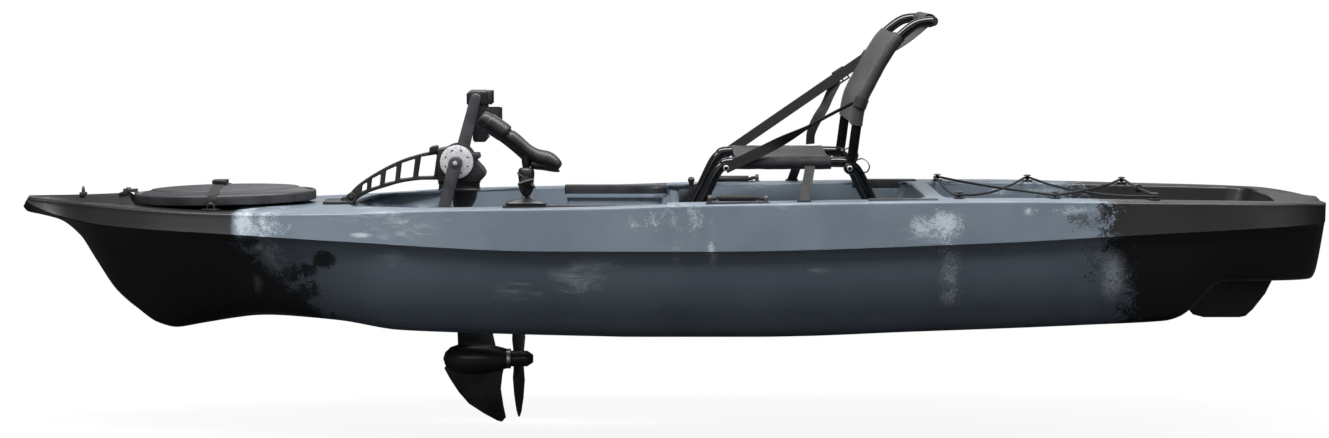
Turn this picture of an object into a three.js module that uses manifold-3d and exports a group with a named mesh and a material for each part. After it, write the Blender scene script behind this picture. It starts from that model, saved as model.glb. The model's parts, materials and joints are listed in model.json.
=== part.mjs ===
// Pedal kayak: a sit-on-top hull with a pedal drive, a framed seat, a rudder and a rod holder.
// Units are millimetres. +X runs aft, +Y to starboard, +Z up.
// The origin is on the centre plane, at mid length, level with the flats of the hull bottom.

import * as THREE from 'three';
import { mergeVertices } from 'three/addons/utils/BufferGeometryUtils.js';
import Module from 'manifold-3d';

const wasm = await Module();
wasm.setup();

// Driving dimensions of the whole object
const HULL_LENGTH = 3200;
const HULL_BEAM = 840;
const HULL_DEPTH = 335;
const HULL_WALL = 5;
const GAP = 0.3;
const OVERRUN = 2;

// Facets round small pins, bolts, drums, rings and discs
const smallSides = 8;
const pinSides = 10;
const drumSides = 16;
const ringSides = 20;
const discSides = 24;
const ballSides = 12;
const ballRows = 8;
const wireSides = 6;
const arcSteps = 8;
const endSteps = 6;
const bandCorners = 4;

const HALF_LENGTH = HULL_LENGTH / 2;
const HALF_BEAM = HULL_BEAM / 2;

const part = new THREE.Group();

// Finishes
const FINISHES = {
  polyethylene: { color: 0x4a5159, roughness: 0.45, metalness: 0 },
  hatchPlastic: { color: 0x2c2c30, roughness: 0.6, metalness: 0 },
  blackPlastic: { color: 0x17171a, roughness: 0.5, metalness: 0 },
  greyPlastic: { color: 0x6c6f72, roughness: 0.45, metalness: 0 },
  aluminium: { color: 0xc9ccd0, roughness: 0.35, metalness: 1 },
  blackTube: { color: 0x1b1b1e, roughness: 0.4, metalness: 0.6 },
  steel: { color: 0xa8acb0, roughness: 0.3, metalness: 1 },
  seatFabric: { color: 0x29282c, roughness: 0.95, metalness: 0 },
  backFabric: { color: 0x4a4a50, roughness: 0.95, metalness: 0 },
  webbing: { color: 0x141416, roughness: 0.9, metalness: 0 },
  rubber: { color: 0x101012, roughness: 0.8, metalness: 0 },
};

function finishOf(name) {
  return new THREE.MeshStandardMaterial(FINISHES[name]);
}

// Solids and meshes
function merged(geometry) {
  const bare = geometry.clone();
  bare.deleteAttribute('normal');
  bare.deleteAttribute('uv');
  return mergeVertices(bare);
}

function solidOf(geometry) {
  const bare = merged(geometry);
  const vertProperties = new Float32Array(bare.getAttribute('position').array);
  const triVerts = new Uint32Array(bare.getIndex().array);
  return new wasm.Manifold(new wasm.Mesh({ numProp: 3, vertProperties, triVerts }));
}

function geometryOf(solid) {
  const mesh = solid.getMesh();
  const geometry = new THREE.BufferGeometry();
  geometry.setAttribute('position', new THREE.BufferAttribute(mesh.vertProperties, 3));
  geometry.setIndex(new THREE.BufferAttribute(mesh.triVerts, 1));
  return geometry;
}

function joined(...geometries) {
  return geometryOf(geometries.map(solidOf).reduce((whole, piece) => whole.add(piece)));
}

function cut(geometry, ...tools) {
  return geometryOf(tools.map(solidOf).reduce((whole, tool) => whole.subtract(tool), solidOf(geometry)));
}

function addMesh(name, geometry, finish, parent = part) {
  const mesh = new THREE.Mesh(geometry, finishOf(finish));
  mesh.name = name;
  parent.add(mesh);
  return mesh;
}

function mirrored(geometry) {
  const copy = merged(geometry);
  copy.scale(1, -1, 1);
  const corners = copy.getIndex().array;
  for (let k = 0; k < corners.length; k += 3) {
    [corners[k + 1], corners[k + 2]] = [corners[k + 2], corners[k + 1]];
  }
  return copy;
}

// A closed skin over rings of points, with a fan at each end
function loft(rings) {
  const count = rings[0].length;
  const points = rings.flat();
  const faces = [];
  for (let ring = 0; ring < rings.length - 1; ring += 1) {
    for (let k = 0; k < count; k += 1) {
      const next = (k + 1) % count;
      const a = ring * count + k;
      const b = ring * count + next;
      faces.push([a, b, b + count], [a, b + count, a + count]);
    }
  }
  [0, (rings.length - 1) * count].forEach((start, end) => {
    const middle = new THREE.Vector3();
    rings[end ? rings.length - 1 : 0].forEach((point) => middle.add(point));
    middle.divideScalar(count);
    points.push(middle);
    for (let k = 0; k < count; k += 1) {
      const next = (k + 1) % count;
      const corner = [points.length - 1, start + k, start + next];
      faces.push(end ? corner : [corner[0], corner[2], corner[1]]);
    }
  });
  return shell(points, faces);
}

// A mesh from points and faces, turned right side out
function shell(points, faces) {
  let volume = 0;
  faces.forEach(([a, b, c]) => {
    volume += points[a].dot(new THREE.Vector3().crossVectors(points[b], points[c]));
  });
  const outward = volume > 0 ? faces : faces.map(([a, b, c]) => [a, c, b]);
  const geometry = new THREE.BufferGeometry();
  const numbers = points.flatMap((p) => [p.x, p.y, p.z]);
  geometry.setAttribute('position', new THREE.Float32BufferAttribute(numbers, 3));
  geometry.setIndex(outward.flat());
  return geometry;
}

// A smooth curve through a table of [place, value] shares, without overshoot
function curveOf(table) {
  const slopes = table.slice(1).map(([place, value], k) => (value - table[k][1]) / (place - table[k][0]));
  const tangents = table.map((row, k) => {
    if (k === 0 || k === table.length - 1) {
      return slopes[Math.min(k, slopes.length - 1)];
    }
    const before = slopes[k - 1];
    const after = slopes[k];
    return before * after > 0 ? (2 * before * after) / (before + after) : 0;
  });
  return (place) => {
    const inside = Math.min(Math.max(place, table[0][0]), table[table.length - 1][0]);
    const last = table.length - 2;
    const k = Math.min(last, table.findIndex((row, at) => at <= last && inside <= table[at + 1][0]));
    const width = table[k + 1][0] - table[k][0];
    const t = (inside - table[k][0]) / width;
    const ease = t * t * (3 - 2 * t);
    const lift = t * (1 - t) * width;
    const bend = lift * ((1 - t) * tangents[k] - t * tangents[k + 1]);
    return table[k][1] + ease * (table[k + 1][1] - table[k][1]) + bend;
  };
}

function blendOf(from, to, share) {
  return from + (to - from) * share;
}

// Hull lines, as shares of the half length, half beam and depth
const beamShares = curveOf([
  [-1, 0.03], [-0.99, 0.075], [-0.97, 0.12], [-0.931, 0.19], [-0.875, 0.335], [-0.78, 0.512],
  [-0.6625, 0.655], [-0.5, 0.82], [-0.3375, 0.93], [-0.18, 0.988], [0, 1], [0.094, 1], [0.31, 0.988],
  [0.494, 0.964], [0.656, 0.917], [0.8125, 0.85], [0.906, 0.79], [0.95, 0.735], [0.975, 0.66],
  [0.99, 0.55], [1, 0.38],
]);
const sheerShares = curveOf([
  [-1, 0.945], [-0.9, 0.915], [-0.6625, 0.881], [-0.5, 0.8985], [-0.3375, 0.934], [-0.103, 0.955],
  [0.047, 0.976], [0.5, 1], [0.725, 0.982], [0.9375, 0.961], [1, 0.93],
]);
const crownShares = curveOf([
  [-1, 0.01], [-0.9, 0.048], [-0.8, 0.078], [-0.66, 0.062], [-0.53, 0.006], [-0.45, 0], [0.9, 0], [1, 0.02],
]);
const knuckleShares = curveOf([
  [-1, 0.915], [-0.973, 0.87], [-0.931, 0.815], [-0.85, 0.766], [-0.656, 0.731], [-0.4875, 0.6985],
  [-0.18, 0.645], [0.047, 0.645], [0.494, 0.7045], [0.656, 0.743], [0.9625, 0.809], [1, 0.82],
]);
const keelShares = curveOf([
  [-1, 0.872], [-0.994, 0.838], [-0.973, 0.815], [-0.9425, 0.775], [-0.912, 0.66], [-0.889, 0.487],
  [-0.857, 0.254], [-0.824, 0.113], [-0.792, 0.006], [-0.7625, -0.036], [-0.727, -0.018], [-0.66, 0.015],
  [-0.586, 0.045], [-0.4, 0.06], [0.744, 0.15], [0.766, 0.16], [0.835, 0.388], [0.984, 0.388], [1, 0.42],
]);
const bilgeShares = curveOf([
  [-0.8, 0.13], [-0.575, 0.0896], [-0.5, 0.081], [-0.406, 0.039], [-0.25, 0.019], [-0.103, 0.004],
  [-0.06, 0], [0.13, 0], [0.206, 0.006], [0.35, 0.033], [0.5, 0.057], [0.625, 0.079], [0.744, 0.104],
  [0.766, 0.134], [0.835, 0.388], [0.984, 0.388], [1, 0.42],
]);
const fullnessShares = curveOf([
  [-0.8, 0], [-0.727, 0.12], [-0.66, 0.3], [-0.586, 0.62], [-0.5, 0.86], [-0.4, 1], [1, 1],
]);

// Half section below the knuckle: [share of half beam, share of height] for the fine bow and full waist
const fineSectionShares = [
  [0.87, 0.9], [0.71, 0.75], [0.57, 0.6], [0.44, 0.45], [0.32, 0.31],
  [0.21, 0.18], [0.12, 0.08], [0.05, 0.02],
];
const fullSectionShares = [
  [0.978, 0.93], [0.955, 0.62], [0.915, 0.32], [0.86, 0.13], [0.77, 0.03],
  [0.64, 0], [0.42, 0], [0.2, 0.06],
];
const stationShares = [
  -1, -0.994, -0.973, -0.955, -0.9425, -0.928, -0.912, -0.889, -0.857, -0.824, -0.792, -0.7625,
  -0.727, -0.66, -0.586, -0.5, -0.4, -0.3, -0.18, -0.06, 0.035, 0.13, 0.25, 0.38, 0.5, 0.62, 0.7,
  0.744, 0.766, 0.8, 0.835, 0.89, 0.9375, 0.962, 0.98, 0.992, 1,
];
const innerStationShares = [
  -0.857, -0.824, -0.792, -0.7625, -0.66, -0.5, -0.3, -0.06, 0.13, 0.38, 0.62,
  0.744, 0.766, 0.835, 0.9375, 0.98,
];

const GUNWALE_INSET = 18;
const GUNWALE_ROUND = 8;
const SIDE_DECK = 100;
const TRANSOM_RAKE = 26;
const rakeStartShare = 0.92;
const insetLimitShare = 0.3;
const sideDeckLimitShare = 0.5;
const crownKneeShare = 0.45;
const crownKneeRiseShare = 0.72;

function sectionHeights(share) {
  const beam = beamShares(share) * HALF_BEAM;
  const sheer = sheerShares(share) * HULL_DEPTH;
  const crown = sheer + crownShares(share) * HULL_DEPTH;
  const knuckle = knuckleShares(share) * HULL_DEPTH;
  const keel = keelShares(share) * HULL_DEPTH;
  const bilge = bilgeShares(share) * HULL_DEPTH;
  return { beam, sheer, crown, knuckle, keel, bilge };
}

// Half section from the deck centre round to the keel, drawn in by an inset for the inner skin
function halfSection(share, inset) {
  const line = sectionHeights(share);
  const beam = line.beam - inset;
  const sheer = line.sheer - inset;
  const crown = line.crown - inset;
  const keel = line.keel + inset;
  const bilge = line.bilge + inset;
  const knuckle = Math.max(line.knuckle, keel);
  const full = fullnessShares(share);
  const lean = Math.min(GUNWALE_INSET, beam * insetLimitShare);
  const round = Math.min(GUNWALE_ROUND, lean);
  const side = Math.min(SIDE_DECK, beam * sideDeckLimitShare);
  const points = [
    [0, crown],
    [(beam - side) * crownKneeShare, blendOf(sheer, crown, crownKneeRiseShare)],
    [beam - lean - side, sheer],
    [beam - lean - round, sheer],
    [beam - lean, sheer - round],
    [beam, knuckle],
  ];
  fineSectionShares.forEach(([fineY, fineZ], k) => {
    const [fullY, fullZ] = fullSectionShares[k];
    const fine = blendOf(keel, knuckle, fineZ);
    const waist = blendOf(bilge, knuckle, fullZ);
    points.push([beam * blendOf(fineY, fullY, full), blendOf(fine, waist, full)]);
  });
  points.push([0, blendOf(keel, (keel + bilge) / 2, full)]);
  return points;
}

function hullRing(share, inset) {
  const half = halfSection(share, inset);
  const { sheer, keel } = sectionHeights(share);
  const raked = Math.max(0, (share - rakeStartShare) / (1 - rakeStartShare));
  const placed = (y, z) => {
    const lean = raked * TRANSOM_RAKE * Math.min(1, Math.max(0, (sheer - z) / (sheer - keel)));
    return new THREE.Vector3(share * HALF_LENGTH - lean, y, z);
  };
  const starboard = half.map(([y, z]) => placed(y, z));
  const port = half.slice(1, -1).reverse().map(([y, z]) => placed(-y, z));
  return [...starboard, ...port];
}

// Recesses in the hull
const COCKPIT = {
  floor: 100, top: 350, frontLow: -645, frontHigh: -800, rearLow: 20, rearHigh: 50,
  halfLow: 285, halfHigh: 335, roundLow: 60, roundHigh: 90,
};
const SEAT_SHELF = {
  floor: 240, top: 350, frontLow: 0, frontHigh: -30, rearLow: 590, rearHigh: 625,
  halfLow: 300, halfHigh: 335, roundLow: 50, roundHigh: 60,
};
const SEAT_CHANNEL = {
  floor: 120, top: 245, frontLow: -60, frontHigh: -60, rearLow: 545, rearHigh: 560,
  halfLow: 178, halfHigh: 186, roundLow: 50, roundHigh: 50,
};
const TANK_WELL = {
  floor: 200, top: 350, frontLow: 690, frontHigh: 655, rearLow: 1440, rearHigh: 1485,
  halfLow: 285, halfHigh: 305, roundLow: 50, roundHigh: 60, taper: 50,
};
const DRIVE_SLOT = { front: -545, rear: -112, half: 55, low: -60, high: 110, round: 40 };
const TUNNEL_AXIS_Z = -87;
const TUNNEL_RUN = {
  nose: -640, noseRadius: 100, front: -490, rear: -120, radius: 152, shoulder: 300, shoulderRadius: 128,
  tail: 760, tailRadius: 98,
};
const TUNNEL = [
  { x: TUNNEL_RUN.nose, radius: TUNNEL_RUN.noseRadius }, { x: TUNNEL_RUN.front, radius: TUNNEL_RUN.radius },
  { x: TUNNEL_RUN.rear, radius: TUNNEL_RUN.radius },
  { x: TUNNEL_RUN.shoulder, radius: TUNNEL_RUN.shoulderRadius },
  { x: TUNNEL_RUN.tail, radius: TUNNEL_RUN.tailRadius },
];
const STERN_INSETS = { pocketFront: 375, pocketRear: 250, post: 270, blade: 360 };
const RUDDER_POCKET = {
  front: HULL_LENGTH / 2 - STERN_INSETS.pocketFront, rear: HULL_LENGTH / 2 - STERN_INSETS.pocketRear,
  half: 130, roof: 130, low: -20,
};
const RUDDER_POST = { x: HULL_LENGTH / 2 - STERN_INSETS.post, radius: 11, clearance: 1 };
const SCUPPER = {
  radius: 13, low: -60, frontX: -400, frontY: 215, frontHigh: 130, rearX: 1110, rearY: 190, rearHigh: 230,
};
const SCUPPER_PLACES = [
  { x: SCUPPER.frontX, y: SCUPPER.frontY, high: SCUPPER.frontHigh },
  { x: SCUPPER.rearX, y: SCUPPER.rearY, high: SCUPPER.rearHigh },
];
const HATCH = {
  x: -1099, z: 306, tilt: -0.022, length: 450, width: 330, rim: 25, dome: 15, wall: 5,
  clearance: 18, sill: 10, flange: 14, recess: 10,
};
const cornerSteps = 4;
const steepShare = 0.9;

// A four-sided plan with round corners at one level, wider at the front where a taper is given
function planRing(front, rear, halfFront, halfRear, round, z) {
  const corners = [
    [rear - round, halfRear - round, 0], [front + round, halfFront - round, 1],
    [front + round, round - halfFront, 2], [rear - round, round - halfRear, 3],
  ];
  return corners.flatMap(([x, y, quarter]) => Array.from({ length: cornerSteps + 1 }, (_, step) => {
    const angle = (quarter + step / cornerSteps) * Math.PI / 2;
    return new THREE.Vector3(x + round * Math.cos(angle), y + round * Math.sin(angle), z);
  }));
}

// A well that opens upwards, drawn out on all sides and below by a wall
function wellTool(well, wall = 0) {
  const taper = well.taper ?? 0;
  const low = planRing(
    well.frontLow - wall, well.rearLow + wall, well.halfLow + wall, well.halfLow - taper + wall,
    well.roundLow + wall, well.floor - wall,
  );
  const high = planRing(
    well.frontHigh - wall, well.rearHigh + wall, well.halfHigh + wall, well.halfHigh - taper + wall,
    well.roundHigh + wall, well.top,
  );
  return loft([low, high]);
}

function slotTool(slot, wall = 0) {
  const ring = (z) => planRing(
    slot.front - wall, slot.rear + wall, slot.half + wall, slot.half + wall, slot.round + wall, z,
  );
  return loft([ring(slot.low), ring(slot.high)]);
}

const tunnelSides = 20;

function tunnelTool(wall = 0) {
  const last = TUNNEL[TUNNEL.length - 1];
  const outline = TUNNEL.map((row) => new THREE.Vector2(row.radius + wall, row.x));
  outline[0].y -= wall;
  const profile = [new THREE.Vector2(0, TUNNEL[0].x - wall), ...outline, new THREE.Vector2(0, last.x)];
  const tool = new THREE.LatheGeometry(profile, tunnelSides);
  tool.rotateZ(-Math.PI / 2);
  tool.translate(0, 0, TUNNEL_AXIS_Z);
  return tool;
}

function pocketTool(wall = 0) {
  const { front, rear, half, roof, low } = RUDDER_POCKET;
  const tool = new THREE.BoxGeometry(rear - front + 2 * wall, 2 * (half + wall), roof + wall - low);
  tool.translate((front + rear) / 2, 0, (roof + wall + low) / 2);
  return tool;
}

const holeSides = 12;

function upright(radius, x, y, low, high, sides = holeSides) {
  const tool = new THREE.CylinderGeometry(radius, radius, high - low, sides);
  tool.rotateX(Math.PI / 2);
  tool.translate(x, y, (low + high) / 2);
  return tool;
}

function scupperTools(wall = 0) {
  return SCUPPER_PLACES.flatMap(({ x, y, high }) => [1, -1].map((side) => (
    upright(SCUPPER.radius + wall, x, side * y, SCUPPER.low, high)
  )));
}

function postTool(wall = 0) {
  const radius = RUDDER_POST.radius + RUDDER_POST.clearance + wall;
  return upright(radius, RUDDER_POST.x, 0, RUDDER_POCKET.low, TANK_WELL.top);
}

const ovalSides = 24;

// An oval prism on the hatch's own tilted plane
function hatchOval(margin, low, high) {
  const tool = new THREE.CylinderGeometry(1, 1, high - low, ovalSides);
  tool.rotateX(Math.PI / 2);
  tool.scale(HATCH.length / 2 + margin, HATCH.width / 2 + margin, 1);
  tool.translate(0, 0, (low + high) / 2);
  return ontoHatch(tool);
}

function ontoHatch(geometry) {
  geometry.rotateY(HATCH.tilt);
  geometry.translate(HATCH.x, 0, HATCH.z);
  return geometry;
}

const hatchHoleMargin = -(HATCH.wall + HATCH.clearance + HATCH.sill + HATCH.flange);

// Pockets for the accessory rails, open to the cockpit
const RAIL = {
  inner: 336.3, width: 35, height: 22, proud: 3, slot: 9, groove: 18, grooveHeight: 6, lip: 4, mouth: 22,
};
const RAILS = [
  { name: 'front_port', sign: -1, front: -395, rear: -6, level: -200 },
  { name: 'front_starboard', sign: 1, front: -268, rear: -6, level: -200 },
  { name: 'rear_port', sign: -1, front: 472, rear: 636, level: 554 },
  { name: 'rear_starboard', sign: 1, front: 472, rear: 636, level: 554 },
];

function railPlace(rail) {
  const top = sheerShares(rail.level / HALF_LENGTH) * HULL_DEPTH + RAIL.proud;
  return { top, inner: RAIL.inner, outer: RAIL.inner + RAIL.width };
}

function railTools(wall = 0) {
  const room = GAP + wall;
  return RAILS.map((rail) => {
    const { top, inner, outer } = railPlace(rail);
    const length = rail.rear - rail.front + 2 * room;
    const near = inner - RAIL.mouth;
    const far = outer + room;
    const pocket = new THREE.BoxGeometry(length, far - near, 2 * (RAIL.height + room));
    pocket.translate((rail.front + rail.rear) / 2, rail.sign * (near + far) / 2, top);
    return pocket;
  });
}

function hullSolid() {
  const outer = solidOf(loft(stationShares.map((share) => hullRing(share, 0))));
  const inner = solidOf(loft(innerStationShares.map((share) => hullRing(share, HULL_WALL))));
  const wells = [COCKPIT, SEAT_SHELF, SEAT_CHANNEL, TANK_WELL];
  const recesses = (wall) => [
    ...wells.map((well) => wellTool(well, wall)),
    slotTool(DRIVE_SLOT, wall),
    tunnelTool(wall),
    pocketTool(wall),
    postTool(wall),
    ...scupperTools(wall),
    ...railTools(wall),
    hatchOval(HATCH.recess + wall, -wall, HULL_DEPTH),
  ].map(solidOf).reduce((whole, tool) => whole.add(tool));
  const hollow = inner.subtract(recesses(HULL_WALL));
  const largest = hollow.decompose().sort((a, b) => b.volume() - a.volume())[0];
  const hatchHole = solidOf(hatchOval(hatchHoleMargin, -HATCH.flange, HULL_DEPTH));
  const block = outer.subtract(recesses(0));
  return { block, skin: block.subtract(largest).subtract(hatchHole) };
}

// The one moulding is held as four lengths, with a hair of room between them
const HULL_CUTS = { cockpit: -660, waist: 30, stern: 645 };
const HULL_LENGTHS = [
  { name: 'hull_bow', front: -HALF_LENGTH, rear: HULL_CUTS.cockpit },
  { name: 'hull_cockpit', front: HULL_CUTS.cockpit, rear: HULL_CUTS.waist },
  { name: 'hull_waist', front: HULL_CUTS.waist, rear: HULL_CUTS.stern },
  { name: 'hull_stern', front: HULL_CUTS.stern, rear: HALF_LENGTH },
];

function hullLength(skin, { front, rear }) {
  const start = front === -HALF_LENGTH ? front - OVERRUN : front + GAP / 2;
  const end = rear === HALF_LENGTH ? rear + OVERRUN : rear - GAP / 2;
  const room = new THREE.BoxGeometry(end - start, 2 * HULL_BEAM, 4 * HULL_DEPTH);
  room.translate((start + end) / 2, 0, 0);
  const pieces = skin.intersect(solidOf(room)).decompose();
  return geometryOf(pieces.sort((a, b) => b.volume() - a.volume())[0]);
}

const hull = hullSolid();
HULL_LENGTHS.forEach((length) => {
  addMesh(length.name, hullLength(hull.skin, length), 'polyethylene');
});

// The height of the bare deck, and pieces trimmed to lie on the hull
function deckHeight(x, y) {
  const half = halfSection(x / HALF_LENGTH, 0);
  const edge = Math.max(1, half.findIndex(([beam]) => beam >= Math.abs(y)));
  const [innerY, innerZ] = half[edge - 1];
  const [outerY, outerZ] = half[edge];
  return blendOf(innerZ, outerZ, (Math.abs(y) - innerY) / (outerY - innerY));
}

const hullSeat = hull.block.translate([0, 0, GAP]);

function seated(geometry) {
  const pieces = solidOf(geometry).subtract(hullSeat).decompose();
  return geometryOf(pieces.sort((a, b) => b.volume() - a.volume())[0]);
}

// Plain forms
function block(sizeX, sizeY, sizeZ, x, y, z) {
  const geometry = new THREE.BoxGeometry(sizeX, sizeY, sizeZ);
  geometry.translate(x, y, z);
  return geometry;
}

// A box given by its two corners
function span(x0, x1, y0, y1, z0, z1) {
  return block(x1 - x0, y1 - y0, z1 - z0, (x0 + x1) / 2, (y0 + y1) / 2, (z0 + z1) / 2);
}

// A round bar between two points
function bar(from, to, radius, sides = holeSides) {
  const along = new THREE.Vector3().subVectors(to, from);
  const geometry = new THREE.CylinderGeometry(radius, radius, along.length(), sides);
  const up = new THREE.Vector3(0, 1, 0);
  const turn = new THREE.Quaternion().setFromUnitVectors(up, along.clone().normalize());
  geometry.applyQuaternion(turn);
  geometry.translate((from.x + to.x) / 2, (from.y + to.y) / 2, (from.z + to.z) / 2);
  return geometry;
}

// A tube with a ring of points at each point of its path
function tube(path, radius, sides = smallSides, flat = 1) {
  const along = path.map((point, k) => {
    const before = path[Math.max(0, k - 1)];
    const after = path[Math.min(path.length - 1, k + 1)];
    return new THREE.Vector3().subVectors(after, before).normalize();
  });
  let side = new THREE.Vector3(0, 0, 1);
  if (Math.abs(along[0].dot(side)) > steepShare) {
    side = new THREE.Vector3(0, 1, 0);
  }
  return loft(path.map((point, k) => {
    side.addScaledVector(along[k], -side.dot(along[k])).normalize();
    const across = new THREE.Vector3().crossVectors(along[k], side);
    return Array.from({ length: sides }, (_, corner) => {
      const angle = (corner + 1 / 2) * 2 * Math.PI / sides;
      return point.clone()
        .addScaledVector(across, radius * Math.cos(angle))
        .addScaledVector(side, radius * flat * Math.sin(angle));
    });
  }));
}


function at(x, y, z) {
  return new THREE.Vector3(x, y, z);
}

// A plate with an outline in side view, [x, z] corners, and holes in it
function sidePlate(outline, thickness, y, holes = []) {
  const shape = new THREE.Shape(outline.map(([x, z]) => new THREE.Vector2(x, z)));
  holes.forEach((hole) => {
    shape.holes.push(new THREE.Path(hole.map(([x, z]) => new THREE.Vector2(x, z))));
  });
  const geometry = new THREE.ExtrudeGeometry(shape, { depth: thickness, bevelEnabled: false });
  geometry.rotateX(Math.PI / 2);
  geometry.translate(0, y + thickness / 2, 0);
  return geometry;
}

function discPoints(x, z, radius, sides = drumSides, start = 0) {
  return Array.from({ length: sides }, (_, k) => {
    const angle = start + k * 2 * Math.PI / sides;
    return [x + radius * Math.cos(angle), z + radius * Math.sin(angle)];
  });
}

const SIDES = [{ name: 'port', sign: -1 }, { name: 'starboard', sign: 1 }];

// Bow hatch: coaming, domed lid, hinge, strap and buckle, on the hatch's own tilted plane
const LID_HINGE = { reach: 18, height: 32, barrel: 5, pin: 2.2, tongue: 30, ear: 14, leaf: 16, depth: 12 };
const HATCH_STRAP = { x: -11, width: 25, thickness: 2.4, buckle: 44, buckleWidth: 36, buckleHeight: 10 };
const lidDomeShares = [[1, 0], [0.985, 0.12], [0.92, 0.42], [0.75, 0.74], [0.45, 0.93], [0, 1]];

function lidForm(margin, raise) {
  const top = HATCH.rim + raise;
  const profile = [
    new THREE.Vector2(0, 0),
    new THREE.Vector2(1, 0),
    ...lidDomeShares.map(([radius, height]) => new THREE.Vector2(radius, top + height * HATCH.dome)),
  ];
  const form = new THREE.LatheGeometry(profile, ovalSides);
  form.rotateX(Math.PI / 2);
  form.scale(HATCH.length / 2 + margin, HATCH.width / 2 + margin, 1);
  return form;
}

function lifted(geometry, z) {
  geometry.translate(0, 0, z);
  return geometry;
}

const lidHingeX = -(HATCH.length / 2 + LID_HINGE.reach);

function hatchLid() {
  const hinge = LID_HINGE;
  const hollow = lidForm(-HATCH.wall, -HATCH.wall);
  const tongueReach = HATCH.length / 2 * lidDomeShares[3][0];
  const tongue = span(
    lidHingeX, -tongueReach, -hinge.tongue / 2, hinge.tongue / 2,
    hinge.height - hinge.barrel, hinge.height + hinge.barrel / 2,
  );
  const barrel = bar(
    at(lidHingeX, -hinge.tongue / 2, hinge.height), at(lidHingeX, hinge.tongue / 2, hinge.height),
    hinge.barrel,
  );
  const bore = bar(
    at(lidHingeX, -hinge.tongue, hinge.height), at(lidHingeX, hinge.tongue, hinge.height), hinge.pin + GAP,
  );
  const whole = cut(joined(lidForm(0, 0), tongue, barrel), lifted(hollow, -OVERRUN), bore);
  return ontoHatch(lifted(whole, GAP));
}

function hatchHinge() {
  const hinge = LID_HINGE;
  const outer = hinge.tongue / 2 + GAP + hinge.ear;
  const low = hinge.height - hinge.barrel - hinge.depth;
  const body = joined(
    span(lidHingeX - hinge.leaf, lidHingeX + hinge.barrel, -outer, outer, low, hinge.height - hinge.barrel),
    span(lidHingeX - hinge.barrel, lidHingeX + hinge.barrel, -outer, outer, low, hinge.height + hinge.barrel),
  );
  const room = span(
    lidHingeX - hinge.barrel - 2 * GAP, lidHingeX + 2 * hinge.barrel, -hinge.tongue / 2 - GAP,
    hinge.tongue / 2 + GAP, hinge.height - hinge.barrel - 2 * GAP, hinge.height + 2 * hinge.barrel,
  );
  const pin = bar(at(lidHingeX, -outer, hinge.height), at(lidHingeX, outer, hinge.height), hinge.pin);
  return seated(ontoHatch(lifted(joined(cut(body, room), pin), GAP)));
}

function hatchCoaming() {
  const outer = -(HATCH.wall + HATCH.clearance);
  const height = HATCH.rim - HATCH.wall - GAP;
  const ring = cut(
    hatchOval(outer, GAP, height), hatchOval(outer - HATCH.sill, -OVERRUN, height + OVERRUN),
  );
  return ring;
}

function hatchStrap() {
  const { x, width, thickness } = HATCH_STRAP;
  const outer = lidForm(GAP + thickness, GAP + thickness);
  const inner = lifted(lidForm(GAP, GAP), -OVERRUN);
  const high = HATCH.rim + HATCH.dome;
  const band = span(x - width / 2, x + width / 2, -HATCH.width, HATCH.width, OVERRUN, 2 * high);
  const hollow = solidOf(lidForm(GAP, GAP)).add(solidOf(inner));
  const strap = solidOf(outer).subtract(hollow).intersect(solidOf(band));
  return ontoHatch(lifted(geometryOf(strap), GAP));
}

function hatchBuckle() {
  const { x, thickness, buckle, buckleWidth, buckleHeight } = HATCH_STRAP;
  const base = HATCH.rim + HATCH.dome + thickness + 2 * GAP;
  const body = block(buckleWidth, buckle, buckleHeight, x, 0, base + buckleHeight / 2);
  const slot = buckleHeight / 2;
  const waist = [1, -1].map((side) => block(
    slot, buckle / 2, buckleHeight * 2, x + side * buckleWidth / 2, 0, base + buckleHeight / 2,
  ));
  return ontoHatch(lifted(cut(body, ...waist), GAP));
}

addMesh('bow_hatch_coaming', hatchCoaming(), 'hatchPlastic');
addMesh('bow_hatch_lid', hatchLid(), 'hatchPlastic');
addMesh('bow_hatch_hinge', hatchHinge(), 'blackPlastic');
addMesh('bow_hatch_strap', hatchStrap(), 'webbing');
addMesh('bow_hatch_buckle', hatchBuckle(), 'blackPlastic');

// Pad-eyes: an oval foot with a bent loop
const PAD_EYE = { length: 46, width: 18, foot: 5, sink: 4, wire: 3, loop: 9, rise: 16 };

function padEye(x, y, along) {
  const { length, width, foot, sink, wire, loop, rise } = PAD_EYE;
  const plate = new THREE.CylinderGeometry(1, 1, foot + sink, holeSides);
  plate.rotateX(Math.PI / 2);
  plate.scale(length / 2, width / 2, 1);
  plate.translate(0, 0, (foot - sink) / 2);
  const arc = Array.from({ length: arcSteps + 1 }, (_, k) => {
    const angle = Math.PI * k / arcSteps;
    return at(loop * Math.cos(angle), 0, foot - wire + rise * Math.sin(angle));
  });
  const eye = joined(plate, tube(arc, wire, wireSides));
  eye.rotateZ(along);
  eye.translate(x, y, deckHeight(x, y));
  return seated(eye);
}

const bowEyeInset = 149;
const BOW_EYE_X = bowEyeInset - HALF_LENGTH;
addMesh('bow_pad_eye', padEye(BOW_EYE_X, 0, Math.PI / 2), 'blackPlastic');
const strapEyeY = HATCH.width / 2 + HATCH.recess + PAD_EYE.width;
SIDES.forEach(({ name, sign }) => {
  addMesh(`hatch_strap_eye_${name}`, padEye(HATCH.x + HATCH_STRAP.x, sign * strapEyeY, 0), 'blackPlastic');
});

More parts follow.
